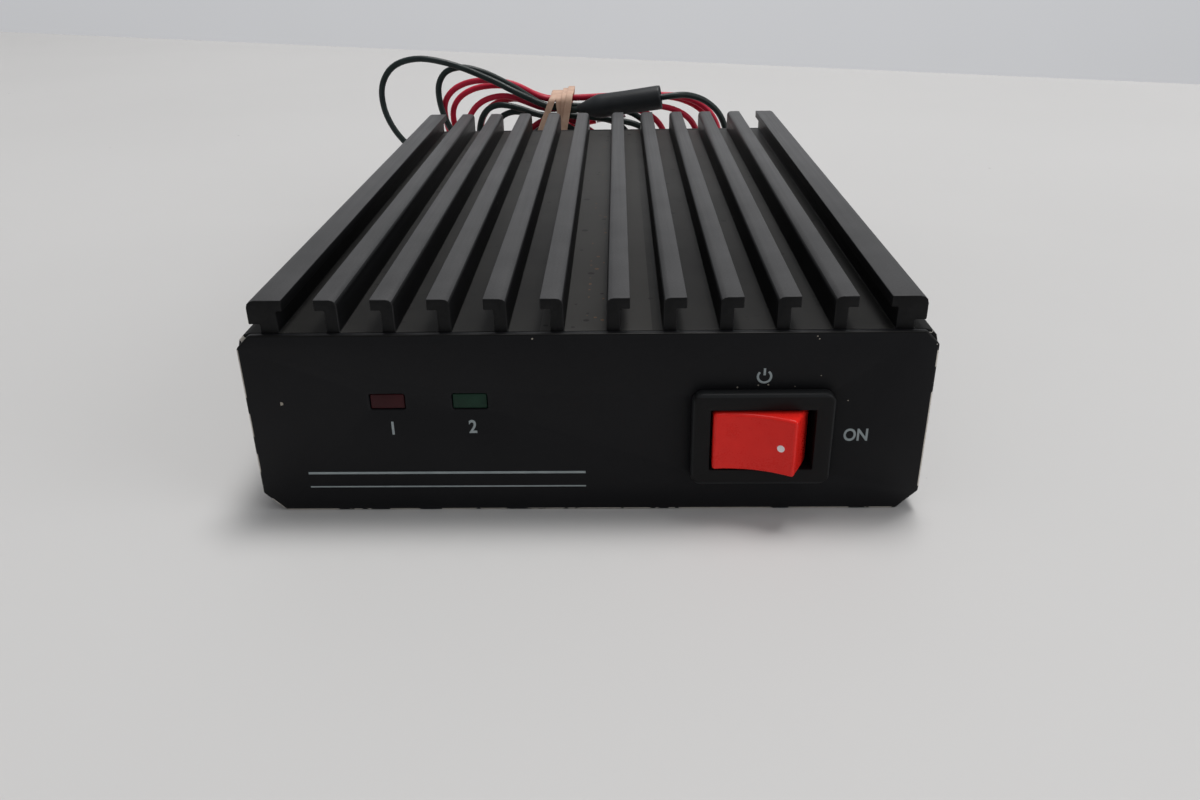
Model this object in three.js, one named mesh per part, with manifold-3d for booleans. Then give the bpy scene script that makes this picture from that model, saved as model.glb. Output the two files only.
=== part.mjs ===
// A two metre band power amplifier for a car: a finned aluminium channel closed by a cover, a front plate
// with a rocker switch and two lamps, a rear plate with two coaxial sockets, and its supply leads tied in a
// hank behind. Millimetres, +Z up, +Y to the back. The front plate's face is at y = 0 until the whole model
// is centred at the end.
import * as THREE from "three";
import { mergeVertices } from "three/addons/utils/BufferGeometryUtils.js";
import Module from "manifold-3d";

const wasm = await Module();
wasm.setup();

// Driving dimensions of the case
const width = 100;
const bodyEnd = 150;
const baseTop = 29.1;
const baseThickness = 4;
const wallThickness = 2.4;
const shoulderRadius = 2;
const coverThickness = 1.2;
const plateThickness = 1.2;
const plateTopCut = 2;
const plateFootCut = 3.1;
const bodyFootCut = 3.9;
const rearPlateThickness = 1.5;
const subpanelThickness = 1;
const fitGap = 0.3;
const closeGap = 0.1;

// How far a cutting solid, or one that is joined, runs past a face
const overrun = 1;

// Fins of the heatsink: a stem with a head that overhangs outwards
const finHeight = 4.9;
const finPairs = 5;
const finMargin = 10;
const stemThickness = 1.9;
const headOverhang = 1.4;
const headThickness = 1.7;
const headRound = 1;
const edgeFinInset = 4.9;
const edgeStemThickness = 2.6;
const edgeInnerOverhang = 0.9;
const edgeOuterOverhang = 1.6;
const edgeHeadDepth = 3.6;
const edgeHeadRound = 1.2;

// Ribs that hold the board, and the ports that take the screws, inside the channel
const ribDepth = 2.4;
const ribThickness = 1;
const boardThickness = 1.6;
const boardFace = 20.5;
const boardSlotPlay = 0.2;
const portWidth = 6.6;
const portHeight = 5;
const portScrewInset = 2.5;

// Screws: every hole is a named play wider than its screw
const screwPlay = 0.15;
const coverScrewRadius = 1.1;
const coverScrewHeadRadius = 2.1;
const coverScrewHeadDepth = 0.9;
const coverScrewLength = 4.2;
const coverScrewFront = 15;
const coverScrewInset = 18;
const plateScrewRadius = 1.1;
const plateScrewHeadRadius = 2.1;
const plateScrewHeadHeight = 1.4;
const plateScrewLength = 7;
const plateScrewUpperInset = 4.3;
const plateScrewUpperDrop = 2.15;
const flangeScrewRadius = 1.2;
const flangeScrewHeadRadius = 2.3;
const flangeScrewHeadHeight = 1.5;
const flangeScrewLength = 3;
const blindDepth = 0.4;

// Subpanel behind the front plate, held under the heatsink by its folded flange
const subpanelFlange = 8;
const subpanelScrewPlace = 10;
const subpanelScrewBack = 5;

// Rocker switch
const switchInset = 24.4;
const switchZ = 12.8;
const bezelWidth = 20.6;
const bezelHeight = 15;
const bezelProud = 1.8;
const bezelRound = 1.6;
const switchBodyWidth = 18.8;
const switchBodyHeight = 12.6;
const switchBodyDepth = 16.5;
const switchFloor = 1.5;
const wellWidth = 15.2;
const wellHeight = 9.8;
const rockerHeight = 9.2;
const rockerPivotBack = 3;
const rockerTilt = 12.5;
const crestReach = 5.9;
const crestRise = 6.8;
const hollowRise = 5.8;
const shoulderReach = 7.25;
const shoulderRise = 1.2;
const skirtReach = 6.5;
const skirtDrop = 0.5;
const hubRadius = 3;
const noseRadius = 0.8;
const noseThickness = 3;
const trunnionRadius = 1.2;
const trunnionLength = 1.1;
const trunnionPlay = 0.3;
const leverTilt = 6;
const leverLength = 11.4;
const leverWidth = 4.6;
const leverThickness = 0.8;
const contactRadius = 1;
const contactHeight = 0.5;
const contactRoom = 3;
const terminalWidth = 4.8;
const terminalThickness = 0.8;
const terminalReach = 7.5;

// Lamps
const lampWidth = 5;
const lampHeight = 2.3;
const lampLength = 6;
const lampRecess = 0.25;
const lampZ = 18.55;
const lampInset = 20.8;
const lampSpacing = 12.1;
const lampCollar = 0.5;
const lampCollarThickness = 1.2;
const lampLeadSize = 0.5;
const lampLeadSpacing = 2.54;
const lampLeadDrop = 0.6;
const lampLeadInset = 1;

// Board and what it carries
const boardFront = 27;
const boardInset = 12;
const boardEdgePlay = 0.3;
const transistorX = 0;
const transistorInset = 46;
const transistorFlangeLength = 24.8;
const transistorFlangeWidth = 12.7;
const transistorFlangeThickness = 2.3;
const transistorScrewInset = 3.2;
const transistorBodyInset = 6.4;
const transistorBodyHeight = 2.7;
const transistorLeadLength = 11;
const transistorLeadWidth = 5;
const transistorLeadThickness = 0.25;
const windowMargin = 1;
const relaySideInset = 15;
const relayInset = 26;
const relayWidth = 12;
const relayLength = 18;
const relayHeight = 14;
const relayWall = 0.8;
const relayBaseThickness = 1.5;
const relayBobbinRadius = 3.6;
const relayBobbinLength = 9;
const relayYokeThickness = 1;
const relayYokeWidth = 7.4;
const relayArmatureThickness = 1;
const relayTravel = 3;
const trimmerSize = 8;
const trimmerHeight = 3;
const trimmerRotorRadius = 3;
const trimmerRotorHeight = 1;
const trimmerSlotWidth = 0.8;
const trimmerSlotDepth = 0.5;
const trimmerSideInset = 17;
const trimmerLead = 14;
const trimmerSpacing = 13;
const capacitorSideInset = 11;
const capacitorLead = 23;
const capacitorRadius = 5;
const capacitorLength = 12;

// Coaxial sockets on the rear plate
const radioGapShare = 0.33;
const socketZ = 14.5;
const socketFlange = 25.4;
const socketFlangeThickness = 1.8;
const socketHoleSpacing = 18.2;
const barrelRadius = 7.95;
const barrelLength = 16.2;
const barrelBore = 6.2;
const barrelFloor = 4;
const stubRadius = 6.2;
const stubLength = 4;
const stubPlay = 0.3;
const neckRadius = 3.6;
const insulatorThickness = 3;
const insulatorProud = 1;
const contactOuterRadius = 2.7;
const contactBore = 1.95;
const contactBoreDepth = 7;
const contactTipRecess = 4.8;
const solderCupRadius = 1.5;
const solderCupLength = 5;

// Bushing that holds the supply leads
const bushingPlay = 0.4;
const bushingZ = 9;
const bushingFlangeRadius = 6;
const bushingFlangeThickness = 1.8;
const bushingNeckRadius = 4.6;
const bushingNeckLength = 3;
const bushingNoseRadius = 3.6;
const bushingNoseLength = 4;
const leadSpacing = 2.6;

// Supply leads and the hank that they are tied in
const leadDiameter = 1.8;
const leadStep = 2.4;
const waistX = -13.7;
const waistHalf = 3.1;
const waistReach = 6;
const blackWaistZ = 27.8;
const redWaistZ = 29.2;
const blackLayerBehind = 20.5;
const leadStraight = 1.2;
const sleeveRadius = 3.4;
const sleeveTaper = 6;
const sleeveTipRadius = 1.2;
const bandWidth = 5.4;
const bandThickness = 0.8;
const bandPlay = 0.35;
const bareRadius = 0.7;
const bareLength = 9;

// Helpers: solids from three.js geometry, joined and cut as manifolds

function manifoldOf(geometry) {
  const bare = geometry.clone();
  bare.deleteAttribute("normal");
  bare.deleteAttribute("uv");
  const merged = mergeVertices(bare, 1e-5);
  const triVerts = new Uint32Array(merged.index.array);
  const vertProperties = merged.attributes.position.array;
  const made = new wasm.Manifold(new wasm.Mesh({ numProp: 3, vertProperties, triVerts }));
  if (made.volume() > 0) return made;
  for (let i = 0; i < triVerts.length; i += 3) {
    [triVerts[i + 1], triVerts[i + 2]] = [triVerts[i + 2], triVerts[i + 1]];
  }
  return new wasm.Manifold(new wasm.Mesh({ numProp: 3, vertProperties, triVerts }));
}

function geometryOf(manifold) {
  const mesh = manifold.getMesh();
  const corners = new Float32Array(mesh.numVert * 3);
  for (let i = 0; i < mesh.numVert; i++) {
    corners.set(mesh.vertProperties.subarray(i * mesh.numProp, i * mesh.numProp + 3), i * 3);
  }
  const geometry = new THREE.BufferGeometry();
  geometry.setAttribute("position", new THREE.BufferAttribute(corners, 3));
  geometry.setIndex(new THREE.BufferAttribute(new Uint32Array(mesh.triVerts), 1));
  geometry.computeVertexNormals();
  return geometry;
}

const joined = (...solids) => solids.reduce((whole, next) => whole.add(next));
const cut = (solid, ...tools) => tools.reduce((whole, next) => whole.subtract(next), solid);

// A box between two values along each axis
function box([x0, x1], [y0, y1], [z0, z1]) {
  const geometry = new THREE.BoxGeometry(x1 - x0, y1 - y0, z1 - z0);
  geometry.translate((x0 + x1) / 2, (y0 + y1) / 2, (z0 + z1) / 2);
  return manifoldOf(geometry);
}

const around = (middle, size) => [middle - size / 2, middle + size / 2];

// A lathe along Y through (x, z), from pairs of radius and y
function turnedY(x, z, pairs, sides = 24) {
  const profile = pairs.map(([radius, y]) => new THREE.Vector2(radius, y));
  const geometry = new THREE.LatheGeometry(profile, sides);
  geometry.translate(x, 0, z);
  return manifoldOf(geometry);
}

// A lathe along Z through (x, y), from pairs of radius and z
function turnedZ(x, y, pairs, sides = 24) {
  const profile = pairs.map(([radius, z]) => new THREE.Vector2(radius, z));
  const geometry = new THREE.LatheGeometry(profile, sides);
  geometry.rotateX(Math.PI / 2);
  geometry.translate(x, y, 0);
  return manifoldOf(geometry);
}

const rodY = (x, z, radius, [y0, y1], sides) =>
  turnedY(x, z, [[0, y0], [radius, y0], [radius, y1], [0, y1]], sides);
const rodZ = (x, y, radius, [z0, z1], sides) =>
  turnedZ(x, y, [[0, z0], [radius, z0], [radius, z1], [0, z1]], sides);

// An outline in X and Z carried along Y
function prismY(shape, [y0, y1]) {
  const geometry = new THREE.ExtrudeGeometry(shape, { depth: y1 - y0, bevelEnabled: false, curveSegments: 4 });
  geometry.rotateX(Math.PI / 2);
  geometry.translate(0, y1, 0);
  return manifoldOf(geometry);
}

// An outline in X and Y carried along Z
function prismZ(shape, [z0, z1]) {
  const geometry = new THREE.ExtrudeGeometry(shape, { depth: z1 - z0, bevelEnabled: false, curveSegments: 6 });
  geometry.translate(0, 0, z0);
  return manifoldOf(geometry);
}

const shapeOf = (points) => new THREE.Shape(points.map(([across, up]) => new THREE.Vector2(across, up)));

const part = new THREE.Group();

function place(name, solid, colour, roughness, metalness, parent = part) {
  const material = new THREE.MeshStandardMaterial({ color: colour, roughness, metalness });
  const geometry = solid.isBufferGeometry ? solid : geometryOf(solid);
  const mesh = new THREE.Mesh(geometry, material);
  mesh.name = name;
  parent.add(mesh);
  return mesh;
}

// Values that several pieces share
const half = width / 2;
const baseUnder = baseTop - baseThickness;
const wallInside = half - wallThickness;
const portInside = wallInside - portWidth;
const portPlace = portInside + portScrewInset;
const portZ = coverThickness + portHeight / 2;
const coverHalf = half - bodyFootCut;
const rearFace = bodyEnd + rearPlateThickness;
const finPitch = (half - finMargin) / finPairs;
const edgeFinPlace = half - edgeFinInset;
const subpanelHalfWidth = portInside - fitGap;
const boardBack = bodyEnd - boardInset;
const transistorY = boardBack - transistorInset;
const transistorScrewPlace = transistorFlangeLength / 2 - transistorScrewInset;
const transistorBodySize = transistorFlangeLength - 2 * transistorBodyInset;
const relayX = -portInside + relaySideInset;
const relayY = boardBack - relayInset;
const trimmerX = portInside - trimmerSideInset;
const trimmerFirstY = transistorY - trimmerLead;
const capacitorX = portInside - capacitorSideInset;
const capacitorY = trimmerFirstY - capacitorLead;
const switchX = half - switchInset;
const powerLampX = -half + lampInset;
const transmitLampX = powerLampX + lampSpacing;
const bushingX = portInside - bushingNeckRadius - bushingPlay;
const antennaX = -portInside + fitGap + socketFlange / 2;
const socketRoom = bushingX - bushingFlangeRadius - antennaX - 1.5 * socketFlange;
const radioX = antennaX + socketFlange + radioGapShare * socketRoom;
const coverScrewPlaces = [];
for (const y of [coverScrewFront, bodyEnd - coverScrewInset]) {
  for (const side of [-1, 1]) coverScrewPlaces.push([side * portPlace, y]);
}
const plateScrewPlaces = [];
for (const side of [-1, 1]) {
  plateScrewPlaces.push([side * portPlace, portZ]);
  plateScrewPlaces.push([side * (half - plateScrewUpperInset), baseTop - plateScrewUpperDrop]);
}
const flangeScrewPlaces = [
  [transistorX - transistorScrewPlace, transistorY],
  [transistorX + transistorScrewPlace, transistorY],
];
const subpanelScrewPlaces = [
  [-subpanelHalfWidth + subpanelScrewPlace, plateThickness + subpanelScrewBack],
  [subpanelHalfWidth - subpanelScrewPlace, plateThickness + subpanelScrewBack],
];
const socketPlaces = { antenna_socket: antennaX, radio_socket: radioX };
const lampPlaces = { power_lamp: powerLampX, transmit_lamp: transmitLampX };

// Heatsink: one extruded channel with its fins on top

function finOutline(finX) {
  const out = Math.sign(finX);
  const top = baseTop + finHeight;
  const inner = finX - out * stemThickness / 2;
  const outer = finX + out * stemThickness / 2;
  const points = [[inner, baseTop]];
  for (let i = 0; i <= 3; i++) {
    const turn = (i / 3) * (Math.PI / 2);
    points.push([
      inner + out * headRound * (1 - Math.cos(turn)),
      top - headRound * (1 - Math.sin(turn)),
    ]);
  }
  points.push(
    [outer + out * headOverhang, top],
    [outer + out * headOverhang, top - headThickness],
    [outer, top - headThickness],
    [outer, baseTop],
  );
  return out > 0 ? points : points.reverse();
}

function edgeFinOutline(out) {
  const top = baseTop + finHeight;
  const inner = out * (edgeFinPlace - edgeStemThickness / 2);
  const outer = out * (edgeFinPlace + edgeStemThickness / 2);
  const tip = outer + out * edgeOuterOverhang;
  const points = [
    [inner, baseTop],
    [inner, top - headThickness],
    [inner - out * edgeInnerOverhang, top - headThickness],
    [inner - out * edgeInnerOverhang, top],
  ];
  for (let i = 0; i <= 3; i++) {
    const turn = (i / 3) * (Math.PI / 2);
    points.push([
      tip - out * edgeHeadRound * (1 - Math.sin(turn)),
      top - edgeHeadRound * (1 - Math.cos(turn)),
    ]);
  }
  points.push([tip, top - edgeHeadDepth], [outer, top - edgeHeadDepth], [outer, baseTop]);
  return out > 0 ? points : points.reverse();
}

function channelInside(out) {
  const slotFoot = boardFace - boardSlotPlay;
  const slotHead = boardFace + boardThickness + boardSlotPlay;
  const points = [
    [wallInside, baseUnder],
    [wallInside, slotHead + ribThickness],
    [wallInside - ribDepth, slotHead + ribThickness],
    [wallInside - ribDepth, slotHead],
    [wallInside, slotHead],
    [wallInside, slotFoot],
    [wallInside - ribDepth, slotFoot],
    [wallInside - ribDepth, slotFoot - ribThickness],
    [wallInside, slotFoot - ribThickness],
    [wallInside, coverThickness + portHeight],
    [portInside, coverThickness + portHeight],
    [portInside, coverThickness],
    [coverHalf + coverThickness, coverThickness],
    [half, bodyFootCut],
  ].map(([x, z]) => [out * x, z]);
  return out > 0 ? points : points.reverse();
}

function shoulder(out) {
  const points = [];
  for (let i = 0; i <= 3; i++) {
    const turn = (i / 3) * (Math.PI / 2);
    points.push([
      out * (half - shoulderRadius * (1 - Math.sin(turn))),
      baseTop - shoulderRadius * (1 - Math.cos(turn)),
    ]);
  }
  return out > 0 ? points : points.reverse();
}

function heatsink() {
  const fins = [];
  for (let i = finPairs; i > 0; i--) fins.push(...finOutline(-(i - 0.5) * finPitch));
  for (let i = 1; i <= finPairs; i++) fins.push(...finOutline((i - 0.5) * finPitch));
  const outline = [
    ...shoulder(-1),
    ...edgeFinOutline(-1),
    ...fins,
    ...edgeFinOutline(1),
    ...shoulder(1),
    ...channelInside(1).reverse(),
    ...channelInside(-1).reverse(),
  ];
  const channel = prismY(shapeOf(outline), [plateThickness, bodyEnd]);
  const roofHoleTop = baseUnder + flangeScrewLength + blindDepth;
  const holes = [
    ...coverScrewPlaces.map(([x, y]) =>
      rodZ(x, y, coverScrewRadius + screwPlay, [0, coverScrewLength + blindDepth], 12)),
    ...plateScrewPlaces.map(([x, z]) =>
      rodY(x, z, plateScrewRadius + screwPlay, [bodyEnd - plateScrewLength, bodyEnd + overrun], 12)),
    ...[...flangeScrewPlaces, ...subpanelScrewPlaces].map(([x, y]) =>
      rodZ(x, y, flangeScrewRadius + screwPlay, [baseUnder - overrun, roofHoleTop], 12)),
  ];
  return cut(channel, ...holes);
}

place("heatsink", heatsink(), 0x2e2e30, 0.45, 0.7);

// Bottom cover with countersunk screws

function coverScrew(x, y) {
  return turnedZ(x, y, [
    [0, 0],
    [coverScrewHeadRadius, 0],
    [coverScrewRadius, coverScrewHeadDepth],
    [coverScrewRadius, coverScrewLength],
    [0, coverScrewLength],
  ], 12);
}

function countersink(x, y) {
  return turnedZ(x, y, [
    [0, -overrun],
    [coverScrewHeadRadius + screwPlay + overrun, -overrun],
    [coverScrewRadius + screwPlay, coverScrewHeadDepth + closeGap],
    [coverScrewRadius + screwPlay, coverThickness + overrun],
    [0, coverThickness + overrun],
  ], 12);
}

const cover = box([-coverHalf, coverHalf], [plateThickness, bodyEnd], [0, coverThickness]);
place("bottom_cover", cut(cover, ...coverScrewPlaces.map(([x, y]) => countersink(x, y))), 0x303032, 0.5, 0.5);
coverScrewPlaces.forEach(([x, y], i) =>
  place("cover_screw_" + (i + 1), coverScrew(x, y), 0x8a8a8c, 0.35, 0.9));

// Front and rear plates share an outline with cut corners

function plateOutline() {
  return shapeOf([
    [-half + plateFootCut, 0],
    [half - plateFootCut, 0],
    [half, plateFootCut],
    [half, baseTop - plateTopCut],
    [half - plateTopCut, baseTop],
    [-half + plateTopCut, baseTop],
    [-half, baseTop - plateTopCut],
    [-half, plateFootCut],
  ]);
}

function panelOpenings(play, depth) {
  const lamps = Object.values(lampPlaces).map((x) =>
    box(around(x, lampWidth + 2 * play), depth, around(lampZ, lampHeight + 2 * play)));
  const body = box(
    around(switchX, switchBodyWidth + 2 * play),
    depth,
    around(switchZ, switchBodyHeight + 2 * play),
  );
  return [body, ...lamps];
}

const frontDepth = [-overrun, plateThickness + subpanelThickness + overrun];
const frontPlate = prismY(plateOutline(), [0, plateThickness]);
place("front_plate", cut(frontPlate, ...panelOpenings(closeGap, frontDepth)), 0x1c1c1e, 0.45, 0.1);

const subpanelBack = plateThickness + subpanelThickness;
const subpanel = joined(
  box(
    [-subpanelHalfWidth, subpanelHalfWidth],
    [plateThickness, subpanelBack],
    [coverThickness + fitGap, baseUnder],
  ),
  box(
    [-subpanelHalfWidth, subpanelHalfWidth],
    [plateThickness, subpanelBack + subpanelFlange],
    [baseUnder - subpanelThickness, baseUnder],
  ),
);
const flangeDepth = [baseUnder - subpanelThickness - overrun, baseUnder + overrun];
const subpanelHoles = subpanelScrewPlaces.map(([x, y]) =>
  rodZ(x, y, flangeScrewRadius + screwPlay, flangeDepth, 12));
place(
  "front_subpanel",
  cut(subpanel, ...panelOpenings(closeGap, frontDepth), ...subpanelHoles),
  0xa8a8a8, 0.4, 0.9,
);

// A pan head screw that points up into the heatsink, its head under the given height
function upwardScrew(x, y, seat) {
  return turnedZ(x, y, [
    [0, seat - flangeScrewHeadHeight],
    [flangeScrewHeadRadius, seat - flangeScrewHeadHeight],
    [flangeScrewHeadRadius, seat],
    [flangeScrewRadius, seat],
    [flangeScrewRadius, baseUnder + flangeScrewLength],
    [0, baseUnder + flangeScrewLength],
  ], 12);
}

subpanelScrewPlaces.forEach(([x, y], i) =>
  place("subpanel_screw_" + (i + 1), upwardScrew(x, y, baseUnder - subpanelThickness), 0x9a9a9c, 0.35, 0.9));

// Rear plate, its screws, and the holes for sockets and bushing

const socketCorners = [];
for (const up of [-1, 1]) {
  for (const side of [-1, 1]) socketCorners.push([side * socketHoleSpacing / 2, up * socketHoleSpacing / 2]);
}
const rearDepth = [bodyEnd - overrun, rearFace + overrun];
const rearHoles = [
  ...Object.values(socketPlaces).flatMap((x) => [
    rodY(x, socketZ, stubRadius + stubPlay, rearDepth, 24),
    ...socketCorners.map(([dx, dz]) => rodY(x + dx, socketZ + dz, plateScrewRadius + screwPlay, rearDepth, 10)),
  ]),
  ...plateScrewPlaces.map(([x, z]) => rodY(x, z, plateScrewRadius + screwPlay, rearDepth, 12)),
  rodY(bushingX, bushingZ, bushingNeckRadius + screwPlay, rearDepth, 20),
];
place("rear_plate", cut(prismY(plateOutline(), [bodyEnd, rearFace]), ...rearHoles), 0x2c2c2e, 0.5, 0.5);

// A pan head screw that points forward, seated on a face at the given y
function forwardScrew(x, z, seat, length, sides) {
  return turnedY(x, z, [
    [0, seat - length],
    [plateScrewRadius, seat - length],
    [plateScrewRadius, seat],
    [plateScrewHeadRadius, seat],
    [plateScrewHeadRadius, seat + plateScrewHeadHeight],
    [0, seat + plateScrewHeadHeight],
  ], sides);
}

plateScrewPlaces.forEach(([x, z], i) =>
  place("rear_screw_" + (i + 1), forwardScrew(x, z, rearFace, plateScrewLength, 12), 0x9a9a9c, 0.35, 0.9));

// Coaxial sockets: shell, insulator and centre contact, with four screws each

const flangeBack = rearFace + socketFlangeThickness;
const barrelEnd = flangeBack + barrelLength;
const contactTip = barrelEnd - contactTipRecess;

function socketShell(x) {
  const flange = box(around(x, socketFlange), [rearFace, flangeBack], around(socketZ, socketFlange));
  const barrel = rodY(x, socketZ, barrelRadius, [rearFace, barrelEnd], 28);
  const stub = rodY(x, socketZ, stubRadius, [rearFace - stubLength, rearFace + overrun], 24);
  const bore = rodY(x, socketZ, barrelBore, [flangeBack + barrelFloor, barrelEnd + overrun], 24);
  const neck = rodY(x, socketZ, neckRadius + closeGap, [rearFace - stubLength - overrun, barrelEnd], 20);
  const holes = socketCorners.map(([dx, dz]) =>
    rodY(x + dx, socketZ + dz, plateScrewRadius + screwPlay, [rearFace - overrun, flangeBack + overrun], 10));
  return cut(joined(flange, barrel, stub), bore, neck, ...holes);
}

function socketInsulator(x) {
  const seat = flangeBack + barrelFloor;
  const body = turnedY(x, socketZ, [
    [0, rearFace - stubLength - insulatorProud],
    [neckRadius, rearFace - stubLength - insulatorProud],
    [neckRadius, seat],
    [barrelBore - closeGap, seat],
    [barrelBore - closeGap, seat + insulatorThickness],
    [0, seat + insulatorThickness],
  ], 20);
  const boreDepth = [rearFace - stubLength - 2 * insulatorProud, barrelEnd];
  const bore = rodY(x, socketZ, contactOuterRadius + closeGap, boreDepth, 16);
  return cut(body, bore);
}

function socketContact(x) {
  const inner = rearFace - stubLength - insulatorProud;
  return turnedY(x, socketZ, [
    [0, inner - solderCupLength],
    [solderCupRadius, inner - solderCupLength],
    [solderCupRadius, inner],
    [contactOuterRadius, inner],
    [contactOuterRadius, contactTip],
    [contactBore, contactTip],
    [contactBore, contactTip - contactBoreDepth],
    [0, contactTip - contactBoreDepth],
  ], 16);
}

for (const [name, x] of Object.entries(socketPlaces)) {
  place(name + "_shell", socketShell(x), 0xc9c7c0, 0.3, 0.95);
  place(name + "_insulator", socketInsulator(x), 0xe6e2d6, 0.6, 0);
  place(name + "_contact", socketContact(x), 0xc8a860, 0.3, 0.95);
  socketCorners.forEach(([dx, dz], i) =>
    place(
      name + "_screw_" + (i + 1),
      forwardScrew(x + dx, socketZ + dz, flangeBack, plateScrewLength, 10),
      0x9a9a9c, 0.35, 0.9,
    ));
}

// Bushing that grips the two supply leads

const bushingEnd = rearFace + bushingFlangeThickness + bushingNoseLength;
const bushing = turnedY(bushingX, bushingZ, [
  [0, rearFace - bushingNeckLength],
  [bushingNeckRadius, rearFace - bushingNeckLength],
  [bushingNeckRadius, rearFace],
  [bushingFlangeRadius, rearFace],
  [bushingFlangeRadius, rearFace + bushingFlangeThickness],
  [bushingNeckRadius, rearFace + bushingFlangeThickness],
  [bushingNoseRadius, bushingEnd],
  [0, bushingEnd],
], 20);
place("lead_bushing", bushing, 0x1a1a1a, 0.6, 0);

// Rocker switch: the housing in the plate, with the rocker and the contact lever turning inside it

const wellFloor = switchBodyDepth - switchFloor;
const leverPivotBack = wellFloor - contactRoom;
const noseLength = leverPivotBack - leverThickness / 2 - fitGap - noseRadius - rockerPivotBack;
const contactTop = leverPivotBack + leverThickness / 2 + contactHeight
  + (leverLength / 2) * Math.sin(THREE.MathUtils.degToRad(leverTilt)) + fitGap;

function roundedBezel() {
  const [left, right] = around(switchX, bezelWidth);
  const [low, high] = around(switchZ, bezelHeight);
  const shape = new THREE.Shape();
  shape.moveTo(left + bezelRound, low);
  shape.absarc(right - bezelRound, low + bezelRound, bezelRound, -Math.PI / 2, 0);
  shape.absarc(right - bezelRound, high - bezelRound, bezelRound, 0, Math.PI / 2);
  shape.absarc(left + bezelRound, high - bezelRound, bezelRound, Math.PI / 2, Math.PI);
  shape.absarc(left + bezelRound, low + bezelRound, bezelRound, Math.PI, 1.5 * Math.PI);
  return shape;
}

function switchHousing() {
  const body = box(
    around(switchX, switchBodyWidth),
    [-overrun, switchBodyDepth],
    around(switchZ, switchBodyHeight),
  );
  const well = box(around(switchX, wellWidth), [-bezelProud - overrun, wellFloor], around(switchZ, wellHeight));
  const sockets = rodZ(
    switchX,
    rockerPivotBack,
    trunnionRadius + trunnionPlay,
    around(switchZ, rockerHeight + 2 * (trunnionLength + trunnionPlay)),
    16,
  );
  const slots = [switchX, switchX - leverLength / 2 + contactRadius].map((x) =>
    box(
      around(x, terminalThickness + 2 * closeGap),
      [wellFloor - overrun, switchBodyDepth + overrun],
      around(switchZ, terminalWidth + 2 * closeGap),
    ));
  return cut(joined(prismY(roundedBezel(), [-bezelProud, 0]), body), well, sockets, ...slots);
}

place("switch_housing", switchHousing(), 0x1a1a1c, 0.5, 0);

// The rocker about its own pivot, +Y to the back; its ends rise and its face is hollow
function rocker() {
  const chord = crestReach;
  const sagitta = crestRise - hollowRise;
  const faceRadius = (chord * chord + sagitta * sagitta) / (2 * sagitta);
  const sweep = Math.asin(chord / faceRadius);
  const points = [];
  for (let i = -4; i <= 4; i++) {
    const turn = (i / 4) * sweep;
    points.push([faceRadius * Math.sin(turn), -hollowRise - faceRadius * (1 - Math.cos(turn))]);
  }
  points.push([shoulderReach, -shoulderRise], [skirtReach, skirtDrop], [hubRadius, hubRadius / 2]);
  points.push([noseThickness / 2, hubRadius], [noseThickness / 2, noseLength - noseRadius]);
  for (let i = 0; i <= 4; i++) {
    const turn = (i / 4) * Math.PI;
    points.push([noseRadius * Math.cos(turn), noseLength + noseRadius * Math.sin(turn)]);
  }
  points.push([-noseThickness / 2, noseLength - noseRadius], [-noseThickness / 2, hubRadius]);
  points.push([-hubRadius, hubRadius / 2], [-skirtReach, skirtDrop], [-shoulderReach, -shoulderRise]);
  const body = prismZ(shapeOf(points), around(0, rockerHeight));
  return joined(body, rodZ(0, 0, trunnionRadius, around(0, rockerHeight + 2 * trunnionLength), 16));
}

const rockerGroup = new THREE.Group();
rockerGroup.position.set(switchX, rockerPivotBack, switchZ);
rockerGroup.rotation.z = THREE.MathUtils.degToRad(-rockerTilt);
part.add(rockerGroup);
place("switch_rocker", rocker(), 0xaa2320, 0.35, 0, rockerGroup);

// The contact lever rocks on the middle terminal and carries a contact at its left end
const lever = joined(
  box(around(0, leverLength), around(0, leverThickness), around(0, leverWidth)),
  rodY(-leverLength / 2 + contactRadius, 0, contactRadius, [0, leverThickness / 2 + contactHeight], 12),
);
const leverGroup = new THREE.Group();
leverGroup.position.set(switchX, leverPivotBack, switchZ);
leverGroup.rotation.z = THREE.MathUtils.degToRad(leverTilt);
part.add(leverGroup);
place("switch_lever", lever, 0xb89a60, 0.3, 0.9, leverGroup);

const terminalEnd = switchBodyDepth + terminalReach;
const supportTop = leverPivotBack + leverThickness / 2 + fitGap;
place(
  "switch_terminal_common",
  box(around(switchX, terminalThickness), [supportTop, terminalEnd], around(switchZ, terminalWidth)),
  0xc4b070, 0.3, 0.9,
);
const loadX = switchX - leverLength / 2 + contactRadius;
place(
  "switch_terminal_load",
  joined(
    box(around(loadX, terminalThickness), [contactTop, terminalEnd], around(switchZ, terminalWidth)),
    rodY(loadX, switchZ, contactRadius, [contactTop, wellFloor - fitGap], 12),
  ),
  0xc4b070, 0.3, 0.9,
);

// Rectangular lamps, their leads bent up to the board

function lamp(x) {
  const lens = box(around(x, lampWidth), [lampRecess, lampLength], around(lampZ, lampHeight));
  const collar = box(
    around(x, lampWidth + 2 * lampCollar),
    [subpanelBack, subpanelBack + lampCollarThickness],
    around(lampZ, lampHeight + 2 * lampCollar),
  );
  const leads = [-1, 1].flatMap((side) => {
    const wide = around(x + side * lampLeadSpacing / 2, lampLeadSize);
    const bend = boardFront + lampLeadInset;
    const low = lampZ - lampLeadDrop;
    return [
      box(wide, [lampLength - overrun, bend], [low, low + lampLeadSize]),
      box(wide, [bend - lampLeadSize, bend], [low, boardFace - closeGap]),
    ];
  });
  return joined(lens, collar, ...leads);
}

place("power_lamp", lamp(powerLampX), 0x2a1618, 0.25, 0);
place("transmit_lamp", lamp(transmitLampX), 0x1c2c24, 0.25, 0);

// Board in the ribs, with a window for the power transistor

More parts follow.
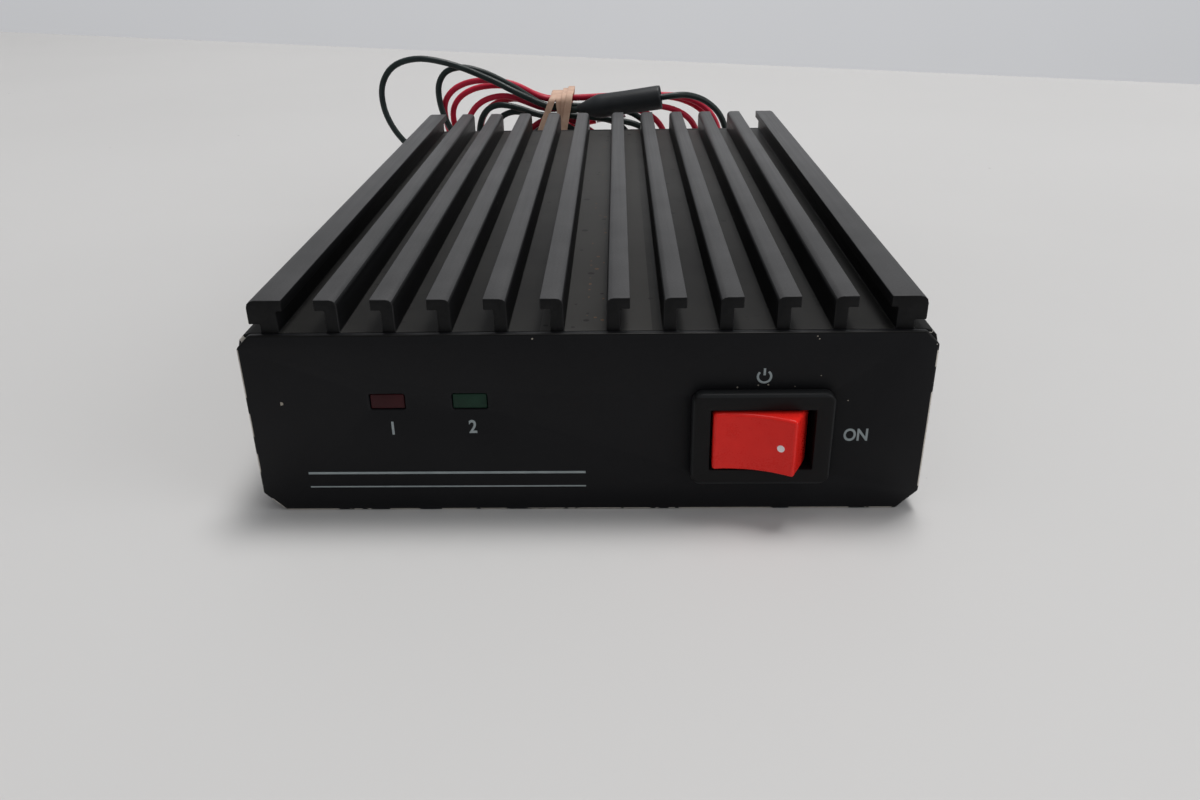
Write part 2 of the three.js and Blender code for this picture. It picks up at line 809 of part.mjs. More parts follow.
const boardHalf = wallInside - boardEdgePlay;
const transistorWindow = box(
  around(transistorX, transistorFlangeLength + 2 * windowMargin),
  around(transistorY, transistorFlangeWidth + 2 * windowMargin),
  [boardFace - overrun, boardFace + boardThickness + overrun],
);
const board = box([-boardHalf, boardHalf], [boardFront, boardBack], [boardFace, boardFace + boardThickness]);
place("main_board", cut(board, transistorWindow), 0x3a6a48, 0.5, 0);

// Power transistor bolted under the heatsink, its leads lying under the board

const flangeFoot = baseUnder - transistorFlangeThickness;
const flange = cut(
  box(
    around(transistorX, transistorFlangeLength),
    around(transistorY, transistorFlangeWidth),
    [flangeFoot, baseUnder],
  ),
  ...flangeScrewPlaces.map(([x, y]) =>
    rodZ(x, y, flangeScrewRadius + screwPlay, [flangeFoot - overrun, baseUnder + overrun], 12)),
);
place("transistor_flange", flange, 0xc8b070, 0.3, 0.9);

const leadTop = boardFace - closeGap;
const transistorBody = joined(
  box(
    around(transistorX, transistorBodySize),
    around(transistorY, transistorBodySize),
    [flangeFoot - transistorBodyHeight, flangeFoot],
  ),
  box(
    around(transistorX, transistorLeadWidth),
    around(transistorY, transistorBodySize + 2 * transistorLeadLength),
    [leadTop - transistorLeadThickness, leadTop],
  ),
);
place("transistor_body", transistorBody, 0xe4e0d8, 0.5, 0);
flangeScrewPlaces.forEach(([x, y], i) =>
  place("transistor_screw_" + (i + 1), upwardScrew(x, y, flangeFoot), 0x9a9a9c, 0.35, 0.9));

// Changeover relay under the board: base, coil with yoke, hinged armature and cover

const relayFoot = boardFace - relayHeight;
const relayBaseFoot = boardFace - relayBaseThickness;
const relayInnerWidth = relayWidth - 2 * relayWall;
const relayInnerLength = relayLength - 2 * relayWall;
place(
  "relay_base",
  box(
    around(relayX, relayInnerWidth - 2 * closeGap),
    around(relayY, relayInnerLength - 2 * closeGap),
    [relayBaseFoot, boardFace],
  ),
  0x3a3a3c, 0.5, 0,
);

const bobbinZ = relayBaseFoot - relayBobbinRadius - fitGap;
const bobbinFront = relayY - relayBobbinLength / 2;
const bobbinBack = relayY + relayBobbinLength / 2;
const poleFoot = bobbinZ - relayBobbinRadius;
const relayCoil = joined(
  rodY(relayX, bobbinZ, relayBobbinRadius, [bobbinFront, bobbinBack], 20),
  box(
    around(relayX, relayYokeWidth),
    [bobbinFront - relayYokeThickness, bobbinFront + closeGap],
    [poleFoot, relayBaseFoot],
  ),
  box(
    around(relayX, relayYokeWidth),
    [bobbinBack - closeGap, bobbinBack + relayYokeThickness],
    [poleFoot, relayBaseFoot],
  ),
);
place("relay_coil", relayCoil, 0x9a4a30, 0.4, 0.3);

const armatureTop = poleFoot - fitGap;
const armatureHinge = bobbinFront - relayYokeThickness;
const armatureLength = relayBobbinLength + 2 * relayYokeThickness;
const armatureGroup = new THREE.Group();
armatureGroup.position.set(relayX, armatureHinge, armatureTop);
armatureGroup.rotation.x = THREE.MathUtils.degToRad(-relayTravel);
part.add(armatureGroup);
place(
  "relay_armature",
  box(around(0, relayYokeWidth), [0, armatureLength], [-relayArmatureThickness, 0]),
  0xa0a0a4, 0.35, 0.9, armatureGroup,
);

const relayCover = cut(
  box(around(relayX, relayWidth), around(relayY, relayLength), [relayFoot, boardFace]),
  box(
    around(relayX, relayInnerWidth),
    around(relayY, relayInnerLength),
    [relayFoot + relayWall, boardFace + overrun],
  ),
);
place("relay_cover", relayCover, 0x28282a, 0.4, 0);

// Trimmer capacitors under the board

const trimmerFoot = boardFace - trimmerHeight;
for (let i = 0; i < 2; i++) {
  const y = trimmerFirstY + i * trimmerSpacing;
  place(
    "trimmer_" + (i + 1) + "_base",
    box(around(trimmerX, trimmerSize), around(y, trimmerSize), [trimmerFoot, boardFace]),
    0xd8c8a0, 0.5, 0,
  );
  const rotorTop = trimmerFoot - fitGap;
  const rotor = cut(
    rodZ(trimmerX, y, trimmerRotorRadius, [rotorTop - trimmerRotorHeight, rotorTop], 16),
    box(
      around(trimmerX, trimmerSlotWidth),
      around(y, 2 * trimmerRotorRadius + overrun),
      [rotorTop - trimmerRotorHeight - overrun, rotorTop - trimmerRotorHeight + trimmerSlotDepth],
    ),
  );
  place("trimmer_" + (i + 1) + "_rotor", rotor, 0xc9c7c0, 0.3, 0.9);
}

place(
  "supply_capacitor",
  rodZ(capacitorX, capacitorY, capacitorRadius, [boardFace - capacitorLength, boardFace], 20),
  0x2a3a6a, 0.4, 0.2,
);

// Hank: each lead runs round the same two lobes and through the waist, in two layers of two loops.
// A loop has 24 steps, of which one crosses the waist on each side, and step 0 is the tip of the right lobe.
const stepsPerLoop = 24;
const loops = 4;
const halfSteps = stepsPerLoop / 2;
const blackLayerY = rearFace + blackLayerBehind;
const blackFirstStep = 7.5;
const redFirstStep = 0.5;
const lastStep = (loops - 1) * stepsPerLoop + halfSteps + halfSteps / 2 - 0.5;
const climbShare = 0.25;
const leastFallShare = 0.2;
const fallShare = 0.8;

// The lobes of each lead in their order, from the one where it starts. Each has the share that rounds its end,
// its reach past the waist, the height of its tip over the waist, and how far it swells up and down.
const blackLobes = {
  frontY: blackLayerY,
  waistZ: blackWaistZ,
  riseShare: 1.1,
  firstHalfTurn: 0,
  sizes: [
    [0.9, 48.7, 8.3, 18.9, 22.3],
    [0.45, 28, -11.4, 9.3, 13.5],
    [0.6, 20.2, -3.1, 10.9, 9.3],
    [0.55, 19.7, -9.8, 9.3, 8.8],
    [0.75, 16.1, -5.7, 9.1, 8.8],
    [0.5, 27, -10.9, 10.4, 14],
    [0.9, 32.1, 7.8, 12.4, 19.2],
  ],
};
const redLobes = {
  frontY: blackLayerY + 2 * leadStep,
  waistZ: redWaistZ,
  riseShare: 0.7,
  firstHalfTurn: -1,
  sizes: [
    [0.3, 46.6, -8.8, 8.8, 0],
    [0.9, 31.1, 2.1, 9.3, 20.2],
    [0.3, 39.9, -8.3, 8.1, 16.6],
    [0.6, 24.8, -5.2, 11.4, 9.3],
    [0.42, 30, -9.3, 8.8, 9.8],
    [0.75, 20.7, -5.7, 9.8, 10.4],
    [0.3, 45, -9.3, 9.1, 18.6],
    [0.9, 29, -1, 8.3, 17.6],
  ],
};

function hankPoint(lobes, step) {
  const turn = step / stepsPerLoop;
  const inward = Math.min(turn, loops - turn) / (loops / 2);
  const halfTurn = Math.floor((step - halfSteps / 2 + 0.5) / halfSteps);
  const along = step - halfSteps / 2 + 0.5 - halfTurn * halfSteps;
  const left = halfTurn % 2 === 0;
  const climb = THREE.MathUtils.clamp((turn - loops / 2) / climbShare + 1, 0, 1);
  const layer = climb * climb * (3 - 2 * climb);
  const y = lobes.frontY + layer * leadStep;
  const side = left ? -1 : 1;
  const start = left ? 1 : -1;
  const spread = waistReach * (1 - inward);
  const middle = lobes.waistZ + (layer - 0.5) * leadStep / 2;
  if (along < 1) {
    const x = waistX - side * waistHalf * (1 - 2 * along);
    return new THREE.Vector3(x, y, middle + start * spread);
  }
  const phase = ((along - 1) / (halfSteps - 1)) * Math.PI;
  const [bendShare, reach, tip, up, down] = lobes.sizes[halfTurn - lobes.firstHalfTurn];
  const out = Math.sin(phase) ** bendShare;
  const across = start * Math.cos(phase);
  const fall = leastFallShare + fallShare * inward;
  const swell = across > 0 ? up * out ** lobes.riseShare : down * out ** fall;
  return new THREE.Vector3(
    waistX + side * (waistHalf + reach * out),
    y,
    middle + tip * out + across * (spread + swell),
  );
}

// A tube of flat sides through points, its ends square
function tube(points, radius, sides = 6) {
  const across = new THREE.Vector3(0, 1, 0);
  const corners = [];
  points.forEach((point, i) => {
    const before = points[Math.max(i - 1, 0)];
    const after = points[Math.min(i + 1, points.length - 1)];
    const forward = after.clone().sub(before).normalize();
    const side = across.clone().addScaledVector(forward, -across.dot(forward)).normalize();
    const up = new THREE.Vector3().crossVectors(forward, side);
    for (let k = 0; k < sides; k++) {
      const turn = (k / sides) * 2 * Math.PI;
      const corner = point.clone()
        .addScaledVector(side, radius * Math.cos(turn))
        .addScaledVector(up, radius * Math.sin(turn));
      corners.push(corner.x, corner.y, corner.z);
    }
  });
  const faces = [];
  for (let i = 0; i + 1 < points.length; i++) {
    for (let k = 0; k < sides; k++) {
      const a = i * sides + k;
      const b = i * sides + ((k + 1) % sides);
      faces.push(a, b, b + sides, a, b + sides, a + sides);
    }
  }
  const last = (points.length - 1) * sides;
  for (let k = 1; k + 1 < sides; k++) {
    faces.push(0, k + 1, k, last, last + k, last + k + 1);
  }
  const geometry = new THREE.BufferGeometry();
  geometry.setAttribute("position", new THREE.Float32BufferAttribute(corners, 3));
  geometry.setIndex(faces);
  return manifoldOf(geometry);
}

// The least distance between stretches of a wound tube that are more than a few diameters apart along it
function leastSelfGap(points, diameter) {
  const nextOnes = 6;
  const curve = new THREE.CurvePath();
  for (let i = 0; i + 1 < points.length; i++) curve.add(new THREE.LineCurve3(points[i], points[i + 1]));
  const samples = curve.getSpacedPoints(Math.round(curve.getLength() / diameter));
  let least = Infinity;
  for (let i = 0; i < samples.length; i++) {
    for (let j = i + nextOnes; j < samples.length; j++) {
      least = Math.min(least, samples[i].distanceTo(samples[j]));
    }
  }
  return least - diameter;
}

function windHank(name, lobes, firstStep, leadIn, tail, colour) {
  const points = [...leadIn];
  if (!points.length) {
    points.push(hankPoint(lobes, firstStep).add(new THREE.Vector3(0, 0, -leadDiameter)));
  }
  for (let step = firstStep; step <= lastStep; step++) points.push(hankPoint(lobes, step));
  points.push(...tail);
  const end = points[points.length - 1];
  const heading = end.clone().sub(points[points.length - 2]).normalize();
  points.push(end.clone().addScaledVector(heading, leadDiameter));
  place(name, tube(points, leadDiameter / 2), colour, 0.45, 0);
  const length = points.slice(1).reduce((sum, point, i) => sum + point.distanceTo(points[i]), 0);
  const gap = leastSelfGap(points, leadDiameter);
  console.log(name, "length", length.toFixed(0), "least gap", gap.toFixed(2));
  return { points, heading };
}

// A point of a route, chosen by hand: x, the distance behind the rear plate, and z
const routePoint = ([x, behind, z]) => new THREE.Vector3(x, rearFace + behind, z);

const sleeveTip = routePoint([-6.9, 16.3, 32]);
const sleeveEnd = routePoint([17.4, 14.1, 35.5]);
const blackLeadIn = [
  [-7.3, 16.3, 31.9],
  [-9.1, 16.9, 31.8],
  [-11.6, 17.6, 32.1],
  [-16.4, 18.1, 32.9],
  [-25.1, 18.8, 36.6],
].map(routePoint);
const blackTail = [
  [-13.7, 22.9, 23.2],
  [-10.6, 22.9, 22.8],
  [-8, 22.9, 20.3],
  [-6.4, 22.9, 17.9],
].map(routePoint);
const redTail = [
  [-13.7, 28.6, 25],
  [-10.6, 29.7, 25.1],
  [-6.9, 30.2, 25.4],
  [-3.8, 30.2, 25.9],
].map(routePoint);
const blackHank = windHank("black_lead_hank", blackLobes, blackFirstStep, blackLeadIn, blackTail, 0x1e2a2a);
const redHank = windHank("red_lead_hank", redLobes, redFirstStep, [], redTail, 0xaa1932);

// Bare tinned ends of both leads
for (const [name, hank] of [["black_lead_end", blackHank], ["red_lead_end", redHank]]) {
  const start = hank.points[hank.points.length - 1].clone().addScaledVector(hank.heading, fitGap);
  const end = start.clone().addScaledVector(hank.heading, bareLength);
  place(name, tube([start, end], bareRadius, 8), 0x9a9aa4, 0.4, 0.8);
}

// Sleeve of the in-line fuse, tapered towards the hank
function fuseSleeve() {
  const length = sleeveTip.distanceTo(sleeveEnd);
  const profile = [
    [0, 0],
    [sleeveTipRadius, 0],
    [sleeveRadius, sleeveTaper],
    [sleeveRadius, length],
    [0, length],
  ].map(([radius, along]) => new THREE.Vector2(radius, along));
  const geometry = new THREE.LatheGeometry(profile, 16);
  const turn = new THREE.Quaternion().setFromUnitVectors(
    new THREE.Vector3(0, 1, 0),
    sleeveEnd.clone().sub(sleeveTip).normalize(),
  );
  geometry.applyQuaternion(turn);
  geometry.translate(sleeveTip.x, sleeveTip.y, sleeveTip.z);
  return manifoldOf(geometry);
}
place("fuse_sleeve", fuseSleeve(), 0x191e20, 0.5, 0);

// Free stretches between the bushing and the hank
function freeLead(route, x) {
  const start = new THREE.Vector3(x, bushingEnd + fitGap, bushingZ);
  const straight = new THREE.Vector3(x, start.y + leadStraight, bushingZ);
  const path = new THREE.CatmullRomCurve3([...route, straight, start]);
  const section = new THREE.Shape();
  section.absarc(0, 0, leadDiameter / 2, 0, 2 * Math.PI);
  const stepShare = 2.5;
  const steps = Math.round(path.getLength() / (stepShare * leadDiameter));
  return manifoldOf(
    new THREE.ExtrudeGeometry(section, { steps, bevelEnabled: false, extrudePath: path, curveSegments: 4 }),
  );
}

const blackRoute = [
  [17.7, 14.1, 35.5],
  [20.8, 14.5, 35.8],
  [25.2, 16, 35.7],
  [30.4, 17.8, 33.8],
  [34.9, 19.6, 29.8],
  [37.3, 20.6, 24.5],
  [37.9, 20.6, 19],
  [37.9, 19, 14.2],
  [37.6, 16, 10.8],
  [37.3, 12, 9.3],
].map(routePoint);
place("black_lead", freeLead(blackRoute, bushingX + leadSpacing / 2), 0x1e2a2a, 0.45, 0);

const redStart = redHank.points[0].clone().add(new THREE.Vector3(0, 0, -fitGap));
const redRoute = [
  [36, 25.2, 16.4],
  [35.8, 24, 12.9],
  [35.4, 21, 10.3],
  [35, 17, 9.2],
  [34.7, 12, 9],
].map(routePoint);
redRoute.unshift(redStart, redStart.clone().add(new THREE.Vector3(0, 0, -leadDiameter)));
place("red_lead", freeLead(redRoute, bushingX - leadSpacing / 2), 0xaa1932, 0.45, 0);

// Rubber band round the waist
function rubberBand() {
  const inside = leadDiameter / 2 + bandPlay;
  const front = blackLeadIn[2].y - inside;
  const back = redTail[1].y + inside;
  const top = hankPoint(redLobes, halfSteps / 2).z;
  const bottom = hankPoint(blackLobes, lastStep).z;
  const reach = (top - bottom) / 2 + inside;
  const ring = (grow) => {
    const shape = new THREE.Shape();
    const round = inside + grow;
    const [left, right, low, high] = [front - grow, back + grow, -reach - grow, reach + grow];
    shape.moveTo(left + round, low);
    shape.absarc(right - round, low + round, round, -Math.PI / 2, 0);
    shape.absarc(right - round, high - round, round, 0, Math.PI / 2);
    shape.absarc(left + round, high - round, round, Math.PI / 2, Math.PI);
    shape.absarc(left + round, low + round, round, Math.PI, 1.5 * Math.PI);
    return shape;
  };
  const slab = (shape, length) => {
    const geometry = new THREE.ExtrudeGeometry(shape, { depth: length, bevelEnabled: false, curveSegments: 4 });
    const axes = new THREE.Matrix4().makeBasis(
      new THREE.Vector3(0, 1, 0),
      new THREE.Vector3(0, 0, 1),
      new THREE.Vector3(1, 0, 0),
    );
    geometry.applyMatrix4(axes);
    geometry.translate(waistX - length / 2, 0, (top + bottom) / 2);
    return manifoldOf(geometry);
  };
  return cut(slab(ring(bandThickness), bandWidth), slab(ring(0), bandWidth + overrun));
}
place("rubber_band", rubberBand(), 0xcdaa91, 0.6, 0);

// The origin is under the middle of the amplifier itself, without its leads
const cordNames = /lead_hank|^black_lead$|^red_lead$|lead_end|fuse_sleeve|rubber_band/;
part.updateMatrixWorld(true);
const bounds = new THREE.Box3();
part.traverse((object) => {
  if (object.isMesh && !cordNames.test(object.name)) bounds.expandByObject(object, true);
});
const middle = bounds.getCenter(new THREE.Vector3());
part.position.set(-middle.x, -middle.y, -bounds.min.z);
console.log("front face moved by", middle.y.toFixed(3));

export default part;
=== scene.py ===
import math

import bmesh
import bpy
from mathutils import Matrix, Vector


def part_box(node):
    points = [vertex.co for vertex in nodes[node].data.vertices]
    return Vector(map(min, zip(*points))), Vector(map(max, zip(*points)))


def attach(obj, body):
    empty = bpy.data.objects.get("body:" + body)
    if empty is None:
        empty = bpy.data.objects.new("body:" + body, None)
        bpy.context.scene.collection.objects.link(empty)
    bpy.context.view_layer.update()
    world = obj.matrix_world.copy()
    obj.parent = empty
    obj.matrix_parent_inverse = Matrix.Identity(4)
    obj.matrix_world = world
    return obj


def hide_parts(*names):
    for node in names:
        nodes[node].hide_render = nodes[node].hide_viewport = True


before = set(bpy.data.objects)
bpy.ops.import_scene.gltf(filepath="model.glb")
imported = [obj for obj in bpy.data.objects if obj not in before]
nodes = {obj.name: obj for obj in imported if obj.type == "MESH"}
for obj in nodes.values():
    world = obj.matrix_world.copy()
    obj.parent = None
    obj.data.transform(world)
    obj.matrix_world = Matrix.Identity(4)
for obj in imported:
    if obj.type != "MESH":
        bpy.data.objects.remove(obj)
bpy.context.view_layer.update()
bpy.ops.object.select_all(action="DESELECT")

# Camera.
# It stands a little right of the middle, in front of the amplifier and above it, and looks down on the
# fins, with a wide lens.
looks_along = Vector((-0.01997598, 0.89777477, -0.44000161))
looks_right = Vector((0.99978275, 0.01531748, -0.0141363))
looks_up = Vector((0.0059515, 0.44018841, 0.89788571))
stands_at = (0.004768, -0.209139, 0.080873)


def shown(title, data):
    """Puts a new object in the scene."""
    made = bpy.data.objects.new(title, data)
    bpy.context.collection.objects.link(made)
    return made


lens = bpy.data.cameras.new("camera")
lens.lens = 29.12
lens.sensor_width = 36
lens.clip_start = 0.01
camera = shown("camera", lens)
turned_to = Matrix((looks_right, looks_up, -looks_along)).transposed()
camera.matrix_world = Matrix.Translation(stands_at) @ turned_to.to_4x4()
bpy.context.scene.camera = camera
bpy.context.scene.view_settings.view_transform = "Standard"


# Supply leads.
# Two stranded copper wires with soft plastic insulation, one black and one red. They leave the bushing,
# and most of their length is wound up behind the case, in two layers each, and tied at the waist.
def connect(socket, value):
    """Feeds a socket from another node's output, or sets it to a value."""
    if isinstance(value, bpy.types.NodeSocket):
        socket.id_data.links.new(value, socket)
    else:
        socket.default_value = value


def add(tree, kind, settings={}, inputs={}):
    """Puts one shader node in a material or group; an input is a value or another node's output."""
    made = tree.nodes.new("ShaderNode" + kind)
    for key, value in settings.items():
        setattr(made, key, value)
    for key, value in inputs.items():
        connect(made.inputs[key], value)
    return made


def count(operation, first, second):
    """One sum in a material or group, with a node's output as its first value."""
    return add(first.id_data, "Math", {"operation": operation}, {0: first, 1: second}).outputs[0]


def noise(place, scale, detail):
    """An uneven pattern with values from 0 to 1."""
    inputs = {"Vector": place, "Scale": scale, "Detail": detail}
    return add(place.id_data, "TexNoise", inputs=inputs).outputs["Fac"]


def blank_finish(title):
    """A material, its principled shader and the place in the piece's own space."""
    finish = bpy.data.materials.new(title)
    finish.use_nodes = True
    tree = finish.node_tree
    tree.nodes.clear()
    shader = tree.nodes.new("ShaderNodeBsdfPrincipled")
    end = tree.nodes.new("ShaderNodeOutputMaterial")
    tree.links.new(shader.outputs[0], end.inputs["Surface"])
    place = tree.nodes.new("ShaderNodeTexCoord").outputs["Object"]
    return finish, shader, place


def new_effect(title, told, **given):
    """An empty group of shader nodes, with what goes into it and what comes out."""
    group = bpy.data.node_groups.new(title, "ShaderNodeTree")
    for name, kind in given.items():
        group.interface.new_socket(name, in_out="INPUT", socket_type="NodeSocket" + kind)
    for name in told:
        group.interface.new_socket(name, in_out="OUTPUT", socket_type="NodeSocketFloat")
    return group, group.nodes.new("NodeGroupInput").outputs, group.nodes.new("NodeGroupOutput").inputs


def grain_effect():
    """Fine and broad unevenness of a surface: a tint for the colour, one for the gloss, and a height."""
    comes_out = ("Tint", "Gloss", "Height")
    group, given, told = new_effect("grain", comes_out, Place="Vector", Fine="Float", Broad="Float")
    fine = noise(given["Place"], given["Fine"], 3.0)
    broad = noise(given["Place"], given["Broad"], 3.0)
    connect(told["Tint"], broad)
    connect(told["Gloss"], count("MULTIPLY", count("ADD", fine, broad), 0.5))
    connect(told["Height"], fine)
    return group


grain = grain_effect()


def use_effect(group, **inputs):
    """Puts an effect in a material with its values."""
    made = inputs["Place"].id_data.nodes.new("ShaderNodeGroup")
    made.node_tree = group
    for key, value in inputs.items():
        connect(made.inputs[key], value)
    return made.outputs


def between(factor, low, high):
    """A value, or with three numbers a colour, that goes from low to high as factor goes from 0 to 1."""
    if isinstance(high, (int, float)):
        made = add(factor.id_data, "MapRange", inputs={"Value": factor, "To Min": low, "To Max": high})
        return made.outputs["Result"]
    mixed = add(factor.id_data, "Mix", {"data_type": "RGBA"}, {0: factor})
    for number, colour in ((6, low), (7, high)):
        connect(mixed.inputs[number], (*colour, 1) if isinstance(colour, tuple) else colour)
    return mixed.outputs[2]


def stretched(factor, low, high):
    """Spreads the part of a pattern that lies from low to high over 0 to 1."""
    made = add(factor.id_data, "MapRange", inputs={"Value": factor, "From Min": low, "From Max": high})
    return made.outputs["Result"]


def varied(pattern, low, high):
    """A value or a colour that goes from low to high over the middle of a pattern."""
    return between(stretched(pattern, 0.3, 0.7), low, high)


def feed(shader, **inputs):
    """Sets the shader's sockets, each from a pattern or to a value."""
    for key, value in inputs.items():
        connect(shader.inputs[key.replace("_", " ")], value)


def bumped(shader, height, depth):
    """Raises the surface by a pattern; depth is the most, in metres."""
    bump = add(shader.id_data, "Bump", inputs={"Height": height, "Distance": depth, "Strength": 1.0})
    connect(shader.inputs["Normal"], bump.outputs[0])


def grained_finish(title, fine, broad):
    """A blank finish with the tint, gloss and height of its grain."""
    finish, shader, place = blank_finish(title)
    return finish, shader, place, use_effect(grain, Place=place, Fine=fine, Broad=broad)


def plain_finish(title, dark, light, fine, broad, smooth, rough, depth, gleam=0.5, metal=0.0):
    """An even material whose colour, gloss and surface vary a little; gleam is its specular level."""
    finish, shader, place, spots = grained_finish(title, fine, broad)
    colour = varied(spots["Tint"], dark, light)
    gloss = varied(spots["Gloss"], smooth, rough)
    feed(shader, Base_Color=colour, Roughness=gloss, Metallic=metal, Specular_IOR_Level=gleam)
    bumped(shader, spots["Height"], depth)
    return finish


black_insulation = plain_finish(
    "black_insulation", (0.007, 0.013, 0.013), (0.014, 0.024, 0.023), 2600, 240, 0.3, 0.5, 0.00002, 0.3
)
red_insulation = plain_finish(
    "red_insulation", (0.45, 0.008, 0.033), (0.6, 0.016, 0.055), 2600, 240, 0.32, 0.52, 0.00002, 0.35
)

lead_thick = 0.0018
layer_step = 0.0024
loops = 4
steps_a_loop = 24
half_loop = 12
last_step = 89.5
climb_share = 0.25
least_fall = 0.2
fall_gain = 0.8
waist_x, waist_half, waist_reach = -0.0137, 0.0031, 0.006
rear_face = 0.069208
# For each half turn of a hank, in the lead's order: the power that rounds its end, and in millimetres how
# far it reaches, how high its tip lies, and how far it swells up and down.
black_hank = {
    "front_y": rear_face + 0.0205,
    "waist_z": 0.0278,
    "rise": 1.1,
    "first_half_turn": 0,
    "lobes": (
        (0.9, 48.7, 8.3, 18.9, 22.3),
        (0.45, 28, -11.4, 9.3, 13.5),
        (0.6, 20.2, -3.1, 10.9, 9.3),
        (0.55, 19.7, -9.8, 9.3, 8.8),
        (0.75, 16.1, -5.7, 9.1, 8.8),
        (0.5, 27, -10.9, 10.4, 14),
        (0.9, 32.1, 7.8, 12.4, 19.2),
    ),
}
red_hank = {
    "front_y": rear_face + 0.0205 + 2 * layer_step,
    "waist_z": 0.0292,
    "rise": 0.7,
    "first_half_turn": -1,
    "lobes": (
        (0.3, 46.6, -8.8, 8.8, 0),
        (0.9, 31.1, 2.1, 9.3, 20.2),
        (0.3, 39.9, -8.3, 8.1, 16.6),
        (0.6, 24.8, -5.2, 11.4, 9.3),
        (0.42, 30, -9.3, 8.8, 9.8),
        (0.75, 20.7, -5.7, 9.8, 10.4),
        (0.3, 45, -9.3, 9.1, 18.6),
        (0.9, 29, -1, 8.3, 17.6),
    ),
}


def hank_point(hank, step):
    """Where the lead is, so many steps from the right tip of its outermost loop."""
    turn = step / steps_a_loop
    inward = min(turn, loops - turn) / (loops / 2)
    half_turn = math.floor((step - half_loop / 2 + 0.5) / half_loop)
    along = step - half_loop / 2 + 0.5 - half_turn * half_loop
    left = half_turn % 2 == 0
    climb = min(max((turn - loops / 2) / climb_share + 1, 0), 1)
    layer = climb * climb * (3 - 2 * climb)
    y = hank["front_y"] + layer * layer_step
    side, start = (-1, 1) if left else (1, -1)
    spread = waist_reach * (1 - inward)
    middle = hank["waist_z"] + (layer - 0.5) * layer_step / 2
    if along < 1:
        return Vector((waist_x - side * waist_half * (1 - 2 * along), y, middle + start * spread))
    phase = (along - 1) / (half_loop - 1) * math.pi
    bend, reach, tip, up, down = hank["lobes"][half_turn - hank["first_half_turn"]]
    out = max(math.sin(phase), 0) ** bend
    across = start * math.cos(phase)
    swell = up * out ** hank["rise"] if across > 0 else down * out ** (least_fall + fall_gain * inward)
    z = middle + tip / 1000 * out + across * (spread + swell / 1000)
    return Vector((waist_x + side * (waist_half + reach / 1000 * out), y, z))


def route(points):
    """Points of a free stretch, given as x, the distance behind the rear plate, and z, in millimetres."""
    return [Vector((x / 1000, rear_face + y / 1000, z / 1000)) for x, y, z in points]


def hank_points(hank, first_step, tail):
    """The whole hank with its free end, and the way that this end points."""
    points = [hank_point(hank, first_step + i) for i in range(round(last_step - first_step) + 1)]
    points += route(tail)
    heading = (points[-1] - points[-2]).normalized()
    points.append(points[-1] + heading * lead_thick)
    return points, heading


def rounded(points, pieces=5):
    """The same line with points between, on a smooth curve through all of them."""
    line = []
    for i in range(len(points) - 1):
        p1, p2 = points[i], points[i + 1]
        p0 = points[i - 1] if i else p1 * 2 - p2
        p3 = points[i + 2] if i + 2 < len(points) else p2 * 2 - p1
        t1 = math.sqrt((p1 - p0).length)
        t2 = t1 + math.sqrt((p2 - p1).length)
        t3 = t2 + math.sqrt((p3 - p2).length)
        for k in range(pieces):
            t = t1 + (t2 - t1) * k / pieces
            a1 = p0 * ((t1 - t) / t1) + p1 * (t / t1)
            a2 = p1 * ((t2 - t) / (t2 - t1)) + p2 * ((t - t1) / (t2 - t1))
            a3 = p2 * ((t3 - t) / (t3 - t2)) + p3 * ((t - t2) / (t3 - t2))
            b1 = a1 * ((t2 - t) / t2) + a2 * (t / t2)
            b2 = a2 * ((t3 - t) / (t3 - t1)) + a3 * ((t - t1) / (t3 - t1))
            line.append(b1 * ((t2 - t) / (t2 - t1)) + b2 * ((t - t1) / (t2 - t1)))
    line.append(points[-1])
    return line


def wire(title, points, thick, finish, closed=False):
    """A round wire along the points, as one spline."""
    shape = bpy.data.curves.new(title, "CURVE")
    shape.dimensions = "3D"
    shape.bevel_depth = thick / 2
    shape.bevel_resolution = 4
    shape.use_fill_caps = not closed
    spline = shape.splines.new("POLY")
    spline.points.add(len(points) - 1)
    for point, place in zip(spline.points, points):
        point.co = (*place, 1)
    spline.use_cyclic_u = closed
    spline.use_smooth = True
    shape.materials.append(finish)
    return shown(title, shape)


bushing_x, bushing_z = 0.036, 0.009
bushing_end = rear_face + 0.0058
lead_apart = 0.0026
black_exit = Vector((bushing_x + lead_apart / 2, bushing_end + 0.0003, bushing_z))
red_exit = Vector((bushing_x - lead_apart / 2, bushing_end + 0.0003, bushing_z))
straight_out = Vector((0, 0.0012, 0))
black_rise = route(
    ((37.3, 12, 9.3), (37.6, 16, 10.8), (37.9, 19, 14.2), (37.9, 20.6, 19), (37.3, 20.6, 24.5))
)
black_fall = route(
    ((34.9, 19.6, 29.8), (30.4, 17.8, 33.8), (25.2, 16, 35.7), (20.8, 14.5, 35.8), (17.7, 14.1, 35.5))
)
black_arch = [black_exit, black_exit + straight_out] + black_rise + black_fall
sleeve_end, sleeve_tip = route(((17.4, 14.1, 35.5), (-6.9, 16.3, 32)))
into_hank = route(
    ((-7.3, 16.3, 31.9), (-9.1, 16.9, 31.8), (-11.6, 17.6, 32.1), (-16.4, 18.1, 32.9), (-25.1, 18.8, 36.6))
)
black_tail = ((-13.7, 22.9, 23.2), (-10.6, 22.9, 22.8), (-8, 22.9, 20.3), (-6.4, 22.9, 17.9))
red_tail = ((-13.7, 28.6, 25), (-10.6, 29.7, 25.1), (-6.9, 30.2, 25.4), (-3.8, 30.2, 25.9))
black_turns, black_heading = hank_points(black_hank, 7.5, black_tail)
red_turns, red_heading = hank_points(red_hank, 0.5, red_tail)
black_line = rounded(black_arch + [sleeve_end, sleeve_tip] + into_hank + black_turns)
